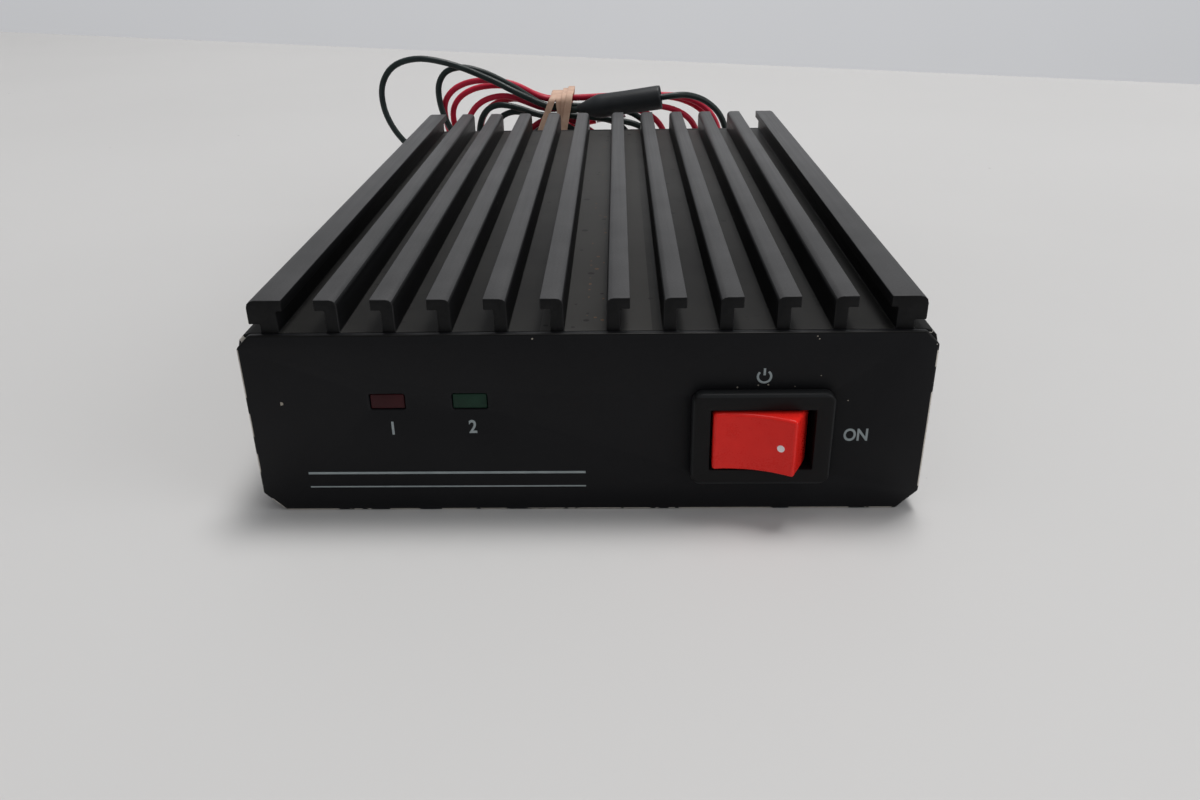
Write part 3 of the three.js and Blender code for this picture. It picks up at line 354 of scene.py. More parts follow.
red_rise = [red_exit, red_exit + straight_out] + route(
    ((34.7, 12, 9), (35, 17, 9.2), (35.4, 21, 10.3), (35.8, 24, 12.9), (36, 25.2, 16.4))
)
drop = Vector((0, 0, -lead_thick))
red_line = rounded(red_rise + [red_turns[0] + 2 * drop, red_turns[0] + drop] + red_turns)
black_lead = wire("black_wire", black_line, lead_thick, black_insulation)
red_lead = wire("red_wire", red_line, lead_thick, red_insulation)

# Bare ends of the leads.
# Each lead ends in a few millimetres of copper strands, twisted together and tinned with solder.
tinned_strands = plain_finish(
    "tinned_strands", (0.3, 0.29, 0.31), (0.52, 0.51, 0.54), 3000, 500, 0.25, 0.45, 0.00003, metal=0.9
)
strand_thick = 0.00046
strand_away = strand_thick * 0.98
strand_steps = 18
strand_twist = 0.28
strand_taper = 0.25
bare_long = 0.009
bare_gap = 0.0003


def only(piece):
    """Selects one piece alone, to work on it."""
    bpy.ops.object.select_all(action="DESELECT")
    piece.select_set(True)
    bpy.context.view_layer.objects.active = piece


def joined(title, parts):
    """Makes one mesh of several objects."""
    only(parts[0])
    for part in parts:
        part.select_set(True)
    bpy.ops.object.convert(target="MESH")
    bpy.ops.object.join()
    whole = bpy.context.object
    whole.name = title
    whole.data.name = title
    return whole


def settle(piece, slot, *stands_for, body="case"):
    """Fixes a finished piece to its body and hides the solids that it stands for; slot is not used."""
    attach(piece, body)
    if stands_for:
        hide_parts(*stands_for)
    return piece


def bare_end(colour, lead_tip, heading):
    """Six strands wound round a seventh, out of the tip of a lead."""
    title = f"{colour}_strands"
    start = lead_tip + heading * bare_gap
    turn = heading.to_track_quat("Z", "Y")
    strands = []
    for number in range(7):
        points = []
        for i in range(strand_steps + 1):
            angle = number * math.pi / 3 + i * strand_twist
            away = 0 if number == 6 else strand_away * (1 - strand_taper * (i / strand_steps) ** 3)
            place = Vector((away * math.cos(angle), away * math.sin(angle), bare_long * i / strand_steps))
            points.append(start + turn @ place)
        strands.append(wire(f"{title}_{number}", points, strand_thick, tinned_strands))
    return settle(joined(title, strands), "tinned_wire", f"{colour}_lead_end")


black_end = bare_end("black", black_turns[-1], black_heading)
red_end = bare_end("red", red_turns[-1], red_heading)

# Sleeve of the in-line fuse.
# A soft black plastic sleeve on the black lead. It narrows to the lead at its left end, and its right
# end is open, with the lead coming out of it.
sleeve_plastic = plain_finish(
    "sleeve_plastic", (0.0115, 0.013, 0.0155), (0.02, 0.0225, 0.0255), 1800, 160, 0.4, 0.6, 0.00004, 0.3
)
sleeve_long = (sleeve_end - sleeve_tip).length
sleeve_rings = (
    (0.0, 0.0012), (0.0008, 0.0015), (0.003, 0.0023), (0.0052, 0.0031), (0.0064, 0.0034), (0.0078, 0.00338),
    (sleeve_long * 0.6, 0.0033), (sleeve_long - 0.0008, 0.0034), (sleeve_long - 0.0001, 0.0033),
    (sleeve_long, 0.0031), (sleeve_long - 0.0001, 0.0028), (sleeve_long - 0.003, 0.0012),
)
merge_within = 0.000001


def fixed(piece):
    """Puts a piece's own place, turn and scale into its mesh."""
    only(piece)
    bpy.ops.object.transform_apply(location=True, rotation=True, scale=True)
    return piece


def opened(piece):
    """Goes into a piece's mesh with all of it selected."""
    only(piece)
    bpy.ops.object.mode_set(mode="EDIT")
    bpy.ops.mesh.select_mode(type="VERT")
    bpy.ops.mesh.select_all(action="SELECT")


def done():
    """Comes back out of the mesh."""
    bpy.ops.object.mode_set(mode="OBJECT")


def closed_up(piece):
    """Merges the points that lie together and turns every face outward."""
    opened(piece)
    bpy.ops.mesh.remove_doubles(threshold=merge_within)
    bpy.ops.mesh.normals_make_consistent(inside=False)
    done()


def turned(title, rings, finish, sides=32):
    """A round piece along Z, drawn out ring by ring from a disc; a ring is its height and its radius."""
    height, radius = rings[0]
    foot = (0, 0, height)
    bpy.ops.mesh.primitive_circle_add(vertices=sides, radius=radius, fill_type="NGON", location=foot)
    piece = bpy.context.object
    piece.name = title
    opened(piece)
    for (low, wide), (high, wider) in zip(rings, rings[1:]):
        bpy.ops.mesh.extrude_region_move(TRANSFORM_OT_translate={"value": (0, 0, high - low)})
        grow = wider / wide
        bpy.ops.transform.resize(value=(grow, grow, 1), center_override=(0, 0, high))
    done()
    closed_up(piece)
    piece.data.materials.append(finish)
    return fixed(piece)


def put(piece, place, along):
    """Moves a piece made along Z at the origin to its place and direction, in its mesh."""
    turn = Vector(along).to_track_quat("Z", "Y").to_matrix().to_4x4()
    piece.matrix_world = Matrix.Translation(place) @ turn
    fixed(piece)


def smoothed(piece, angle=0.7):
    """Shades a piece smooth but for its sharp edges."""
    only(piece)
    bpy.ops.object.shade_smooth_by_angle(angle=angle)
    return piece


sleeve = turned("sleeve", sleeve_rings, sleeve_plastic)
put(sleeve, sleeve_tip, sleeve_end - sleeve_tip)
settle(smoothed(sleeve, 1.0), "black_insulation", "fuse_sleeve")

for colour, lead, exit_at, line, pieces in (
    ("black", black_lead, black_exit, black_line, [black_end, sleeve]),
    ("red", red_lead, red_exit, red_line, [red_end]),
):
    settle(lead, f"{colour}_insulation", f"{colour}_lead_hank", f"{colour}_lead")

# Rubber band.
# A thin beige rubber band, wound four times round the waist of the hank. The left turn leans over to the
# others, which lie one over another and fan out a little upward.
band_rubber = plain_finish(
    "band_rubber", (0.55, 0.34, 0.24), (0.7, 0.48, 0.36), 2200, 300, 0.5, 0.7, 0.00003
)
band_front, band_back = rear_face + 0.01635, rear_face + 0.03095
band_low, band_high = 0.02196, 0.0351
band_round = 0.00125
band_thick = 0.0005
band_wide = 0.002
band_wave = 0.0002
corner_steps = 6


def band_turn(title, x, lean, further):
    """One turn round the leads: a rounded loop, a strip in section, which leans to the left or the right."""
    out = band_thick / 2 + further
    points = []
    for y, z, first in (
        (band_back - band_round, band_high - band_round, 0),
        (band_front + band_round, band_high - band_round, 90),
        (band_front + band_round, band_low + band_round, 180),
        (band_back - band_round, band_low + band_round, 270),
    ):
        for i in range(corner_steps + 1):
            angle = math.radians(first + 90 * i / corner_steps)
            reach = band_round + out
            points.append((y + reach * math.cos(angle), z + reach * math.sin(angle), 0))
    loop = wire(title, points, band_thick, band_rubber, closed=True)
    loop.data.dimensions = "2D"
    loop.data.fill_mode = "NONE"
    loop.data.extrude = (band_wide - band_thick) / 2
    strip = joined(title, [loop])
    middle = (band_low + band_high) / 2
    for point in strip.data.vertices:
        y, z, across = point.co
        wave = band_wave * math.sin(y * 900) * math.sin(z * 500)
        point.co = (x + across + lean * (z - middle) + wave, y, z)
    return strip


band_turns = [
    band_turn("left_turn", -0.0169, 0.42, 0),
    band_turn("middle_turn", -0.0117, -0.1, 0),
    band_turn("second_turn", -0.0111, 0.06, band_thick + 0.00005),
    band_turn("third_turn", -0.0107, 0.2, 2 * band_thick + 0.0001),
]
bands = joined("band_turns", band_turns)
closed_up(bands)
settle(smoothed(bands, 1.2), "band_rubber", "rubber_band")


# Heatsink.
# One length of aluminium extrusion, the top and both sides of the case with twelve fins, sawn off square
# and anodised black. Draw lines run along it, and brown dust has gathered on the floors between the fins.
# A painted sheen lightens the fin tops, and the floors carry painted shade in front and painted light behind.
flat_within = 0.02
round_from = math.radians(40)
sharp_from = math.radians(38)


def worked(piece, kind, **settings):
    """Puts a modifier on a piece and applies it."""
    step = piece.modifiers.new(kind.lower(), kind)
    for key, value in settings.items():
        setattr(step, key, value)
    bpy.context.view_layer.objects.active = piece
    bpy.ops.object.modifier_apply(modifier=step.name)


def softened(
    node, title, slot, edge, finish, edge_finish=None, body="case", segments=2, inner=None, held=True
):
    """A merged copy of a solid with its edges rounded, which stands for it.

    The function inner works on the copy first, and held keeps the rounding narrow where faces are small.
    """
    piece = nodes[node].copy()
    piece.data = nodes[node].data.copy()
    piece.name = title
    piece.data.name = title
    piece.parent = None
    bpy.context.collection.objects.link(piece)
    opened(piece)
    bpy.ops.mesh.remove_doubles(threshold=merge_within)
    bpy.ops.mesh.dissolve_limited(angle_limit=flat_within)
    done()
    piece.data.materials.clear()
    piece.data.materials.append(finish)
    if edge_finish:
        piece.data.materials.append(edge_finish)
    if inner:
        inner(piece)
    worked(
        piece,
        "BEVEL",
        width=edge,
        segments=segments,
        limit_method="ANGLE",
        angle_limit=round_from,
        material=1 if edge_finish else -1,
        miter_outer="MITER_ARC",
        use_clamp_overlap=held,
    )
    worked(piece, "WEIGHTED_NORMAL", keep_sharp=True)
    return settle(smoothed(piece, sharp_from), slot, node, body=body)


def specks_effect():
    """Scattered specks: the share of the cells that hold one, and how large it is in its cell."""
    group, given, told = new_effect(
        "specks", ("Mask",), Place="Vector", Scale="Float", Share="Float", Size="Float"
    )
    cells = add(group, "TexVoronoi", inputs={"Vector": given["Place"], "Scale": given["Scale"]})
    chance = add(group, "SeparateColor", inputs={0: cells.outputs["Color"]}).outputs
    chosen = count("LESS_THAN", chance[0], given["Share"])
    size = count("MULTIPLY", given["Size"], chance[1])
    near = count("LESS_THAN", cells.outputs["Distance"], size)
    connect(told["Mask"], count("MULTIPLY", chosen, near))
    return group


def chip_effect():
    """One small spot with a ragged rim, where the finish has come off."""
    group, given, told = new_effect(
        "chip", ("Mask",), Place="Vector", Centre="Vector", Size="Float", Ragged="Float"
    )
    away = add(group, "VectorMath", {"operation": "DISTANCE"}, {0: given["Place"], 1: given["Centre"]})
    uneven = count("MULTIPLY", noise(given["Place"], 2500, 2), given["Ragged"])
    reach = count("ADD", away.outputs["Value"], uneven)
    connect(told["Mask"], count("LESS_THAN", reach, given["Size"]))
    return group


specks = specks_effect()
chip = chip_effect()
front_face = -0.082292
floor_z = 0.0291
floor_slack = 0.0004
front_shade_reach = 0.03
groove_x, groove_half = 0.0015, 0.008
rusty_x, rusty_half = 0.0013, 0.0013
sawn_y = front_face + 0.0014
sawn_chips = ((-0.0492, 0.0281, 0.0011), (0.0488, 0.0285, 0.0005))


def apart(place):
    """The three parts of a place."""
    return add(place.id_data, "SeparateXYZ", inputs={0: place}).outputs


def away_from(value, middle):
    """How far a value lies from the middle."""
    return count("ABSOLUTE", count("SUBTRACT", value, middle), 0)


def within(value, middle, half):
    """1 where a value lies nearer to the middle than half, and else 0."""
    return count("LESS_THAN", away_from(value, middle), half)


def chipped(place, colour, under, y, chips):
    """The colour with small spots of what lies under it, each with its x and z at one y, and its size."""
    for x, z, size in chips:
        mask = use_effect(chip, Place=place, Centre=(x, y, z), Size=size, Ragged=size)["Mask"]
        colour = between(mask, colour, under)
    return colour


def specked(place, colour, speck, scale, share, size, where=1.0):
    """The colour with scattered specks of another one, where the mask lets them show."""
    mask = use_effect(specks, Place=place, Scale=scale, Share=share, Size=size)["Mask"]
    return between(count("MULTIPLY", mask, where), colour, speck)


def floor_dust_and_shade(place, tint):
    """Brown dust on the floors with painted shade and light: near black in front, paler behind and in the
    wide middle groove, and dark and rusty specks.
    """
    x, y = apart(place)[:2]
    # Painted shade in front, near black, and painted light towards the back and in the middle groove.
    shaded_ahead = varied(tint, (0.004, 0.0038, 0.0034), (0.011, 0.0105, 0.0095))
    lit_behind = varied(tint, (0.026, 0.025, 0.0232), (0.038, 0.0365, 0.034))
    dust_and_shade = between(stretched(y, front_face + front_shade_reach, rear_face), shaded_ahead, lit_behind)
    middle = count("MULTIPLY", within(x, groove_x, groove_half), 0.32)
    dust_and_shade = between(middle, dust_and_shade, (0.056, 0.054, 0.05))
    dust_and_shade = specked(place, dust_and_shade, (0.003, 0.002, 0.002), 520, 0.2, 0.36)
    rusty = within(x, rusty_x, rusty_half)
    return specked(place, dust_and_shade, (0.075, 0.04, 0.02), 900, 0.16, 0.45, rusty)


def anodised_finish(title, worn):
    """Black anodised aluminium with draw lines along Y, a painted sheen on every upward face, and paler
    patches if worn.
    """
    finish, shader, place, spots = grained_finish(title, 3500, 90)
    drawn = add(place.id_data, "Mapping", inputs={"Vector": place, "Scale": (1, 0.012, 1)}).outputs[0]
    lines = noise(drawn, 1700, 4)
    facing = apart(add(place.id_data, "NewGeometry").outputs["Normal"])[2]
    upward = count("GREATER_THAN", facing, 0.6)
    floor = count("MULTIPLY", within(apart(place)[2], floor_z, floor_slack), upward)
    metal = varied(lines, (0.0045, 0.0046, 0.005), (0.0075, 0.0076, 0.0082))
    if worn:
        metal = between(stretched(spots["Tint"], 0.35, 0.8), metal, (0.024, 0.024, 0.025))
    # Painted highlight: upward faces are mixed toward pale grey, a painted sheen of the light on the fin
    # tops.
    painted_sheen = count("MULTIPLY", upward, stretched(spots["Gloss"], -0.2, 0.7))
    metal = between(painted_sheen, metal, (0.068, 0.068, 0.07))
    colour = between(floor, metal, floor_dust_and_shade(place, spots["Tint"]))
    colour = specked(place, colour, (0.16, 0.15, 0.14), 260, 0.012, 0.12)
    colour = chipped(place, colour, (0.55, 0.52, 0.47), sawn_y, sawn_chips)
    gloss = varied(lines, 0.4, 0.46)
    gloss = between(floor, gloss, 0.5)
    feed(shader, Base_Color=colour, Roughness=gloss, Specular_IOR_Level=0.14)
    heights = count("ADD", lines, count("MULTIPLY", spots["Height"], 0.5))
    bumped(shader, heights, 0.000003)
    return finish


case_finish = anodised_finish("anodised_case", False)
case_edges = anodised_finish("anodised_edges", True)
softened("heatsink", "finned_case", "anodised_black", 0.00022, case_finish, case_edges)


# Screws.
# Plated steel with crossed recesses: four countersunk ones under the cover, four round-headed ones in the
# rear plate, and four for each socket. Those inside the case are like them.
def metal_finish(title, dark, light, smooth, rough):
    """Plated metal, a little dull, with fine scratches up and down."""
    finish, shader, place, spots = grained_finish(title, 2400, 420)
    streaked = add(place.id_data, "Mapping", inputs={"Vector": place, "Scale": (1, 1, 0.06)}).outputs[0]
    thin = noise(streaked, 2600, 2)
    colour = between(stretched(spots["Tint"], 0.1, 0.9), dark, light)
    gloss = between(stretched(spots["Gloss"], 0.1, 0.9), smooth, rough)
    gloss = count("ADD", gloss, count("MULTIPLY", stretched(thin, 0.55, 0.8), 0.08))
    feed(shader, Base_Color=colour, Roughness=gloss, Metallic=0.95)
    bumped(shader, spots["Height"], 0.000002)
    return finish


screw_plating = metal_finish("screw_plating", (0.34, 0.33, 0.31), (0.52, 0.51, 0.49), 0.28, 0.45)


def pick(piece, kind, wanted):
    """Goes into a piece's mesh with only its wanted faces, edges or points selected."""
    only(piece)
    bpy.ops.object.mode_set(mode="EDIT")
    bpy.ops.mesh.select_mode(type=kind)
    bpy.ops.mesh.select_all(action="DESELECT")
    shape = bmesh.from_edit_mesh(piece.data)
    for part in {"VERT": shape.verts, "EDGE": shape.edges, "FACE": shape.faces}[kind]:
        if wanted(part):
            part.select_set(True)
    if kind == "VERT":
        shape.select_flush(True)
    bmesh.update_edit_mesh(piece.data)


def cross_cutter(reach, arm, deep, tip):
    """A cross to sink in a head: a small block with an arm drawn out of each side, narrower at its tip."""
    bpy.ops.mesh.primitive_cube_add(size=1, scale=(arm, arm, 2 * deep), location=(0, 0, 0))
    cutter = fixed(bpy.context.object)
    pick(cutter, "FACE", lambda face: abs(face.normal.z) < 0.5)
    bpy.ops.mesh.extrude_faces_move(TRANSFORM_OT_shrink_fatten={"value": reach - arm / 2})
    done()
    pick(cutter, "VERT", lambda point: point.co.z < 0)
    bpy.ops.transform.resize(value=(tip, tip, 1), center_override=(0, 0, 0))
    done()
    return cutter


def sunk(piece, cutter, place, down, turn):
    """Cuts the cutter's shape into a piece, at a place and in a direction, turned about it."""
    tool = cutter.copy()
    tool.data = cutter.data.copy()
    bpy.context.collection.objects.link(tool)
    way = (-Vector(down)).to_track_quat("Z", "Y").to_matrix().to_4x4()
    tool.matrix_world = Matrix.Translation(place) @ way @ Matrix.Rotation(turn, 4, "Z")
    bpy.context.view_layer.update()
    worked(piece, "BOOLEAN", operation="DIFFERENCE", object=tool, solver="EXACT")
    bpy.data.objects.remove(tool)


recess = cross_cutter(reach=0.0012, arm=0.00055, deep=0.0009, tip=0.55)
first_turn, next_turn = 0.5, 1.1


def head_of(node, down):
    """The middle of a screw's head face."""
    least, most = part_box(node)
    middle = (Vector(least) + Vector(most)) / 2
    axis = max(range(3), key=lambda i: abs(down[i]))
    middle[axis] = least[axis] if down[axis] > 0 else most[axis]
    return middle


def crossed_screws(kind, down, edge):
    """The four screws of one kind, each with its recess turned its own way."""
    for number in range(4):
        node = f"{kind}_{number + 1}"
        place = head_of(node, down)
        title = node.replace("screw", "crossed_screw")
        cut = (recess, place, down, first_turn + next_turn * number)
        softened(node, title, "screw_steel", edge, screw_plating, inner=lambda piece: sunk(piece, *cut))


crossed_screws("cover_screw", (0, 0, 1), 0.00004)
crossed_screws("rear_screw", (0, -1, 0), 0.00006)
for socket in ("antenna", "radio"):
    crossed_screws(f"{socket}_socket_screw", (0, -1, 0), 0.00006)
bpy.data.objects.remove(recess)


def coat(finish, *names):
    """Gives a solid that shows as it is its finish."""
    for name in names:
        for spot in nodes[name].material_slots:
            spot.material = finish


coat(screw_plating, "subpanel_screw_1", "subpanel_screw_2", "transistor_screw_1", "transistor_screw_2")


# Front plate.
# A thin aluminium plate with cut corners, painted satin black after it was cut, so that the paint has
# worn off its edges. Two openings for the lamps and one for the switch are punched in it.
def paint_colours(place):
    """The colour of black paint with dust specks on it, and the unevenness that it is made with."""
    spots = use_effect(grain, Place=place, Fine=2200, Broad=60)
    colour = varied(spots["Tint"], (0.0074, 0.0075, 0.0086), (0.0096, 0.0097, 0.0109))
    return specked(place, colour, (0.075, 0.066, 0.055), 520, 0.05, 0.09), spots


def paint_finish(title, chips=()):
    """Satin black paint, with chips of the front plate's face where they are given."""
    finish, shader, place = blank_finish(title)
    colour, spots = paint_colours(place)
    colour = chipped(place, colour, (0.34, 0.31, 0.26), front_face, chips)
    gloss = varied(spots["Gloss"], 0.42, 0.52)
    feed(shader, Base_Color=colour, Roughness=gloss, Specular_IOR_Level=0.12)
    bumped(shader, spots["Height"], 0.000012)
    return finish


# The place of each chip in x and z, and its size.
plate_chips = (
    (-0.0448, 0.0184, 0.00055), (-0.0075, 0.0284, 0.00026), (0.0327, 0.0285, 0.0002),
    (0.033, 0.0281, 0.00022), (0.0218, 0.0206, 0.0002), (0.0248, 0.0209, 0.00018),
    (0.0262, 0.021, 0.00022), (0.0301, 0.0207, 0.00018), (0.0337, 0.0224, 0.00016),
    (0.0379, 0.0184, 0.00018), (0.0278, 0.0049, 0.0002),
)
bare_below, bare_beside, bare_foot = 0.0272, 0.042, 0.0032


def worn_and_shaded_edge_finish():
    """Paint worn off an edge: bare metal low on the sides and the foot, and hardly any at the top, whose edge
    is painted near black as shade that hides a highlight.
    """
    finish, shader, place = blank_finish("worn_shaded_plate_edge")
    colour, spots = paint_colours(place)
    patches = noise(place, 260, 3)
    spot = apart(place)
    shaded_top = count("GREATER_THAN", spot["Z"], bare_below)
    limit = between(shaded_top, 0.45, 0.7)
    # Painted shade: the top edge is coloured near black, so that it shows no highlight.
    colour = between(shaded_top, colour, (0.002, 0.002, 0.002))
    outer = count("GREATER_THAN", away_from(spot["X"], 0), bare_beside)
    outer = count("MAXIMUM", outer, count("LESS_THAN", spot["Z"], bare_foot))
    bare = count("MULTIPLY", outer, count("GREATER_THAN", patches, limit))
    metal = varied(spots["Gloss"], (0.4, 0.37, 0.33), (0.68, 0.64, 0.58))
    colour = between(bare, colour, metal)
    gloss = between(bare, 0.45, 0.38)
    feed(shader, Base_Color=colour, Roughness=gloss, Specular_IOR_Level=0.15)
    return finish


front_paint = paint_finish("front_paint", plate_chips)
softened("front_plate", "painted_front", "painted_black", 0.00028, front_paint, worn_and_shaded_edge_finish())

# Marks on the front plate.
# Printed in grey ink: a number under each lamp, the sign for power over the switch and the word for its
# on position beside it, and two plain rules along the foot.
ink = plain_finish("grey_ink", (0.24, 0.28, 0.29), (0.3, 0.34, 0.35), 4000, 500, 0.5, 0.65, 0.000005)
ink_thick = 0.00003
letter_narrow = 0.84
letter_bold = 0.00006
type_size = 1.42


def word(text, x, z, tall):
    """A word or number printed on the plate, with its middle at x and z."""
    bpy.ops.object.text_add(location=(0, 0, 0))
    letters = bpy.context.object
    letters.data.body = text
    letters.data.align_x = "CENTER"
    letters.data.align_y = "CENTER"
    letters.data.size = tall * type_size
    letters.data.offset = letter_bold
    letters.data.extrude = ink_thick
    letters.data.materials.append(ink)
    mark = joined("word_" + text, [letters])
    upright = Matrix.Rotation(math.pi / 2, 4, "X")
    narrow = Matrix.Diagonal((letter_narrow, 1, 1, 1))
    mark.matrix_world = Matrix.Translation((x, front_face, z)) @ upright @ narrow
    return fixed(mark)


def stroke(title, points, wide):
    """A printed line along points of x and z."""
    made = joined(title, [wire(title, [(x, 0, z) for x, z in points], wide, ink)])
    opened(made)
    flat = ink_thick / (wide / 2)
    bpy.ops.transform.resize(value=(1, flat, 1), center_override=(0, 0, 0))
    bpy.ops.transform.translate(value=(0, front_face, 0))
    done()
    return made


sign_x, sign_z, sign_radius, sign_wide = 0.0256, 0.0223, 0.00095, 0.00034
rule_left, rule_right = -0.0425, -0.0004
sign_ring = [
    (sign_x + sign_radius * math.sin(math.radians(a)), sign_z + sign_radius * math.cos(math.radians(a)))
    for a in range(38, 323, 12)
]
marks = [
    word("ON", 0.0396, 0.01265, 0.00195),
    word("1", -0.0288, 0.01415, 0.0021),
    word("2", -0.0169, 0.01435, 0.0021),
    stroke("sign_ring", sign_ring, sign_wide),
    stroke("sign_bar", [(sign_x, sign_z + 0.0002), (sign_x, sign_z + 0.0013)], sign_wide),
    stroke("upper_rule", [(rule_left, 0.0066), (rule_right, 0.0066)], 0.0004),
    stroke("lower_rule", [(rule_left, 0.0042), (rule_right, 0.0042)], 0.00024),
]
plate_marks = joined("plate_marks", marks)
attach(plate_marks, "case")

# Subpanel.
# A plated steel sheet behind the front plate, with a folded flange that two screws hold to the channel.
sheet_plating = metal_finish("sheet_plating", (0.4, 0.4, 0.39), (0.56, 0.56, 0.55), 0.34, 0.5)
coat(sheet_plating, "front_subpanel")

# Rocker switch.
# A moulded black housing snapped into the plates, with a raised rim, and a red rocker in its well. The
# rocker's right end stands out, and a pale dot is printed on it.
switch_plastic = plain_finish(
    "switch_plastic", (0.007, 0.0069, 0.0072), (0.0098, 0.0096, 0.01), 5200, 300, 0.36, 0.5, 0.000012, 0.12
)
rocker_plastic = plain_finish(
    "rocker_plastic", (0.76, 0.0172, 0.0118), (0.84, 0.0212, 0.0152), 4200, 260, 0.24, 0.34, 0.000005, 0.22
)
dot_print = plain_finish("dot_print", (0.86, 0.78, 0.79), (0.95, 0.9, 0.91), 2600, 900, 0.4, 0.55, 0.00001)
bezel_proud = 0.0018
rim_round = 0.0005
bezel_middle = (0.0256, 0.0128)
bezel_half = (0.0105, 0.0075)
bezel_wide = 0.0012
rim_slack = 0.00005


def bezel_finish():
    """The housing's plastic, with a painted highlight, paler along the rounding of the rim's outer edge."""
    finish, shader, place, spots = grained_finish("bezel_plastic", 5200, 300)
    spot = apart(place)
    beyond = []
    for value, middle, half in zip((spot["X"], spot["Z"]), bezel_middle, bezel_half):
        beyond.append(count("SUBTRACT", away_from(value, middle), half - rim_round))
    rim_highlight = stretched(count("MAXIMUM", *beyond), -0.0001, 0.0001)
    colour = between(spots["Tint"], (0.0066, 0.0065, 0.0068), (0.0098, 0.0096, 0.01))
    # Painted highlight on the rounded outer edge of the rim.
    colour = between(rim_highlight, colour, (0.0185, 0.0195, 0.0205))
    gloss = between(spots["Gloss"], 0.36, 0.5)
    feed(shader, Base_Color=colour, Roughness=gloss, Specular_IOR_Level=0.12)
    bumped(shader, spots["Height"], 0.000012)
    return finish


def rounded_rim(piece):
    """Rounds the outer front edge of the rim wider than its other edges."""
    least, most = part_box("switch_housing")
    front = front_face - bezel_proud

    def on_rim(edge):
        ends = [point.co for point in edge.verts]
        if any(abs(place.y - front) > rim_slack for place in ends):
            return False
        middle = (ends[0] + ends[1]) / 2
        beside = min(middle.x - least[0], most[0] - middle.x, middle.z - least[2], most[2] - middle.z)
        return beside < bezel_wide and len(edge.link_faces) == 2 and edge.calc_face_angle(0) > 1

    pick(piece, "EDGE", on_rim)
    bpy.ops.mesh.bevel(offset=rim_round, offset_pct=0, segments=4, profile=0.5, clamp_overlap=True)
    done()


softened("switch_housing", "switch_body", "black_plastic", 0.00012, bezel_finish(), inner=rounded_rim)
rocker = softened(
    "switch_rocker", "red_rocker", "rocker_red", 0.0005, rocker_plastic, body="rocker", segments=5, held=False
)
dot_from, dot_radius = (0.028, -0.12, 0.0126), 0.00056
dot_rings = ((-0.00006, dot_radius), (0.00002, dot_radius), (0.00005, 0.00048))
dot = turned("rocker_dot", dot_rings, dot_print, 28)
put(dot, *rocker.ray_cast(dot_from, (0, 1, 0))[1:3])
settle(smoothed(dot), "rocker_red", body="rocker")

contact_brass = metal_finish("contact_brass", (0.48, 0.33, 0.15), (0.62, 0.45, 0.22), 0.25, 0.42)
coat(contact_brass, "switch_lever", "switch_terminal_common", "switch_terminal_load")


# Lamps.
# Two flat light-emitting diodes with rectangular lenses of tinted resin, unlit, pushed through the plates
# from behind. Each has a collar and two wire leads.
def lens_finish(title, deep, light):
    """Tinted resin, dark because the lamp is out."""
    finish, shader, place, spots = grained_finish(title, 5000, 420)
    colour = varied(spots["Tint"], deep, light)
    gloss = between(spots["Gloss"], 0.25, 0.45)
    feed(shader, Base_Color=colour, Roughness=gloss, Specular_IOR_Level=0.15)
    bumped(shader, spots["Height"], 0.00001)
    return finish


red_lens = lens_finish("red_lens", (0.028, 0.0044, 0.0058), (0.04, 0.0068, 0.0086))
green_lens = lens_finish("green_lens", (0.0066, 0.025, 0.015), (0.01, 0.035, 0.021))
softened("power_lamp", "red_lamp", "lamp_red", 0.00014, red_lens)
softened("transmit_lamp", "green_lamp", "lamp_green", 0.00014, green_lens)

# Bottom cover and rear plate.
# The cover is black painted steel sheet, the rear plate thicker aluminium painted like the front. Both
# are screwed to the channel.
rear_paint = paint_finish("rear_paint")
softened("bottom_cover", "painted_cover", "painted_black", 0.00012, paint_finish("cover_paint"))
softened("rear_plate", "painted_rear", "painted_black", 0.00016, rear_paint, worn_and_shaded_edge_finish())


# Coaxial sockets.
# Two nickel-plated brass sockets, each a square flange with a threaded barrel, an off-white insulator and
# a brass centre contact, fixed with four screws.
socket_plating = metal_finish("socket_plating", (0.44, 0.43, 0.4), (0.6, 0.59, 0.56), 0.2, 0.38)
socket_resin = plain_finish(
    "socket_resin", (0.62, 0.58, 0.47), (0.74, 0.7, 0.6), 2600, 300, 0.4, 0.55, 0.00001
)
barrel_radius, root_radius = 0.00795, 0.00745
flange_thick = 0.0018
barrel_long = 0.0162
thread_step = 0.00106
socket_z = 0.0145
flange_round = 0.003
corner_away = 0.0115
thread_ends = 0.0026
ridge_radius = 0.00045
ridge_sides = 40
edge_slack = 0.0002


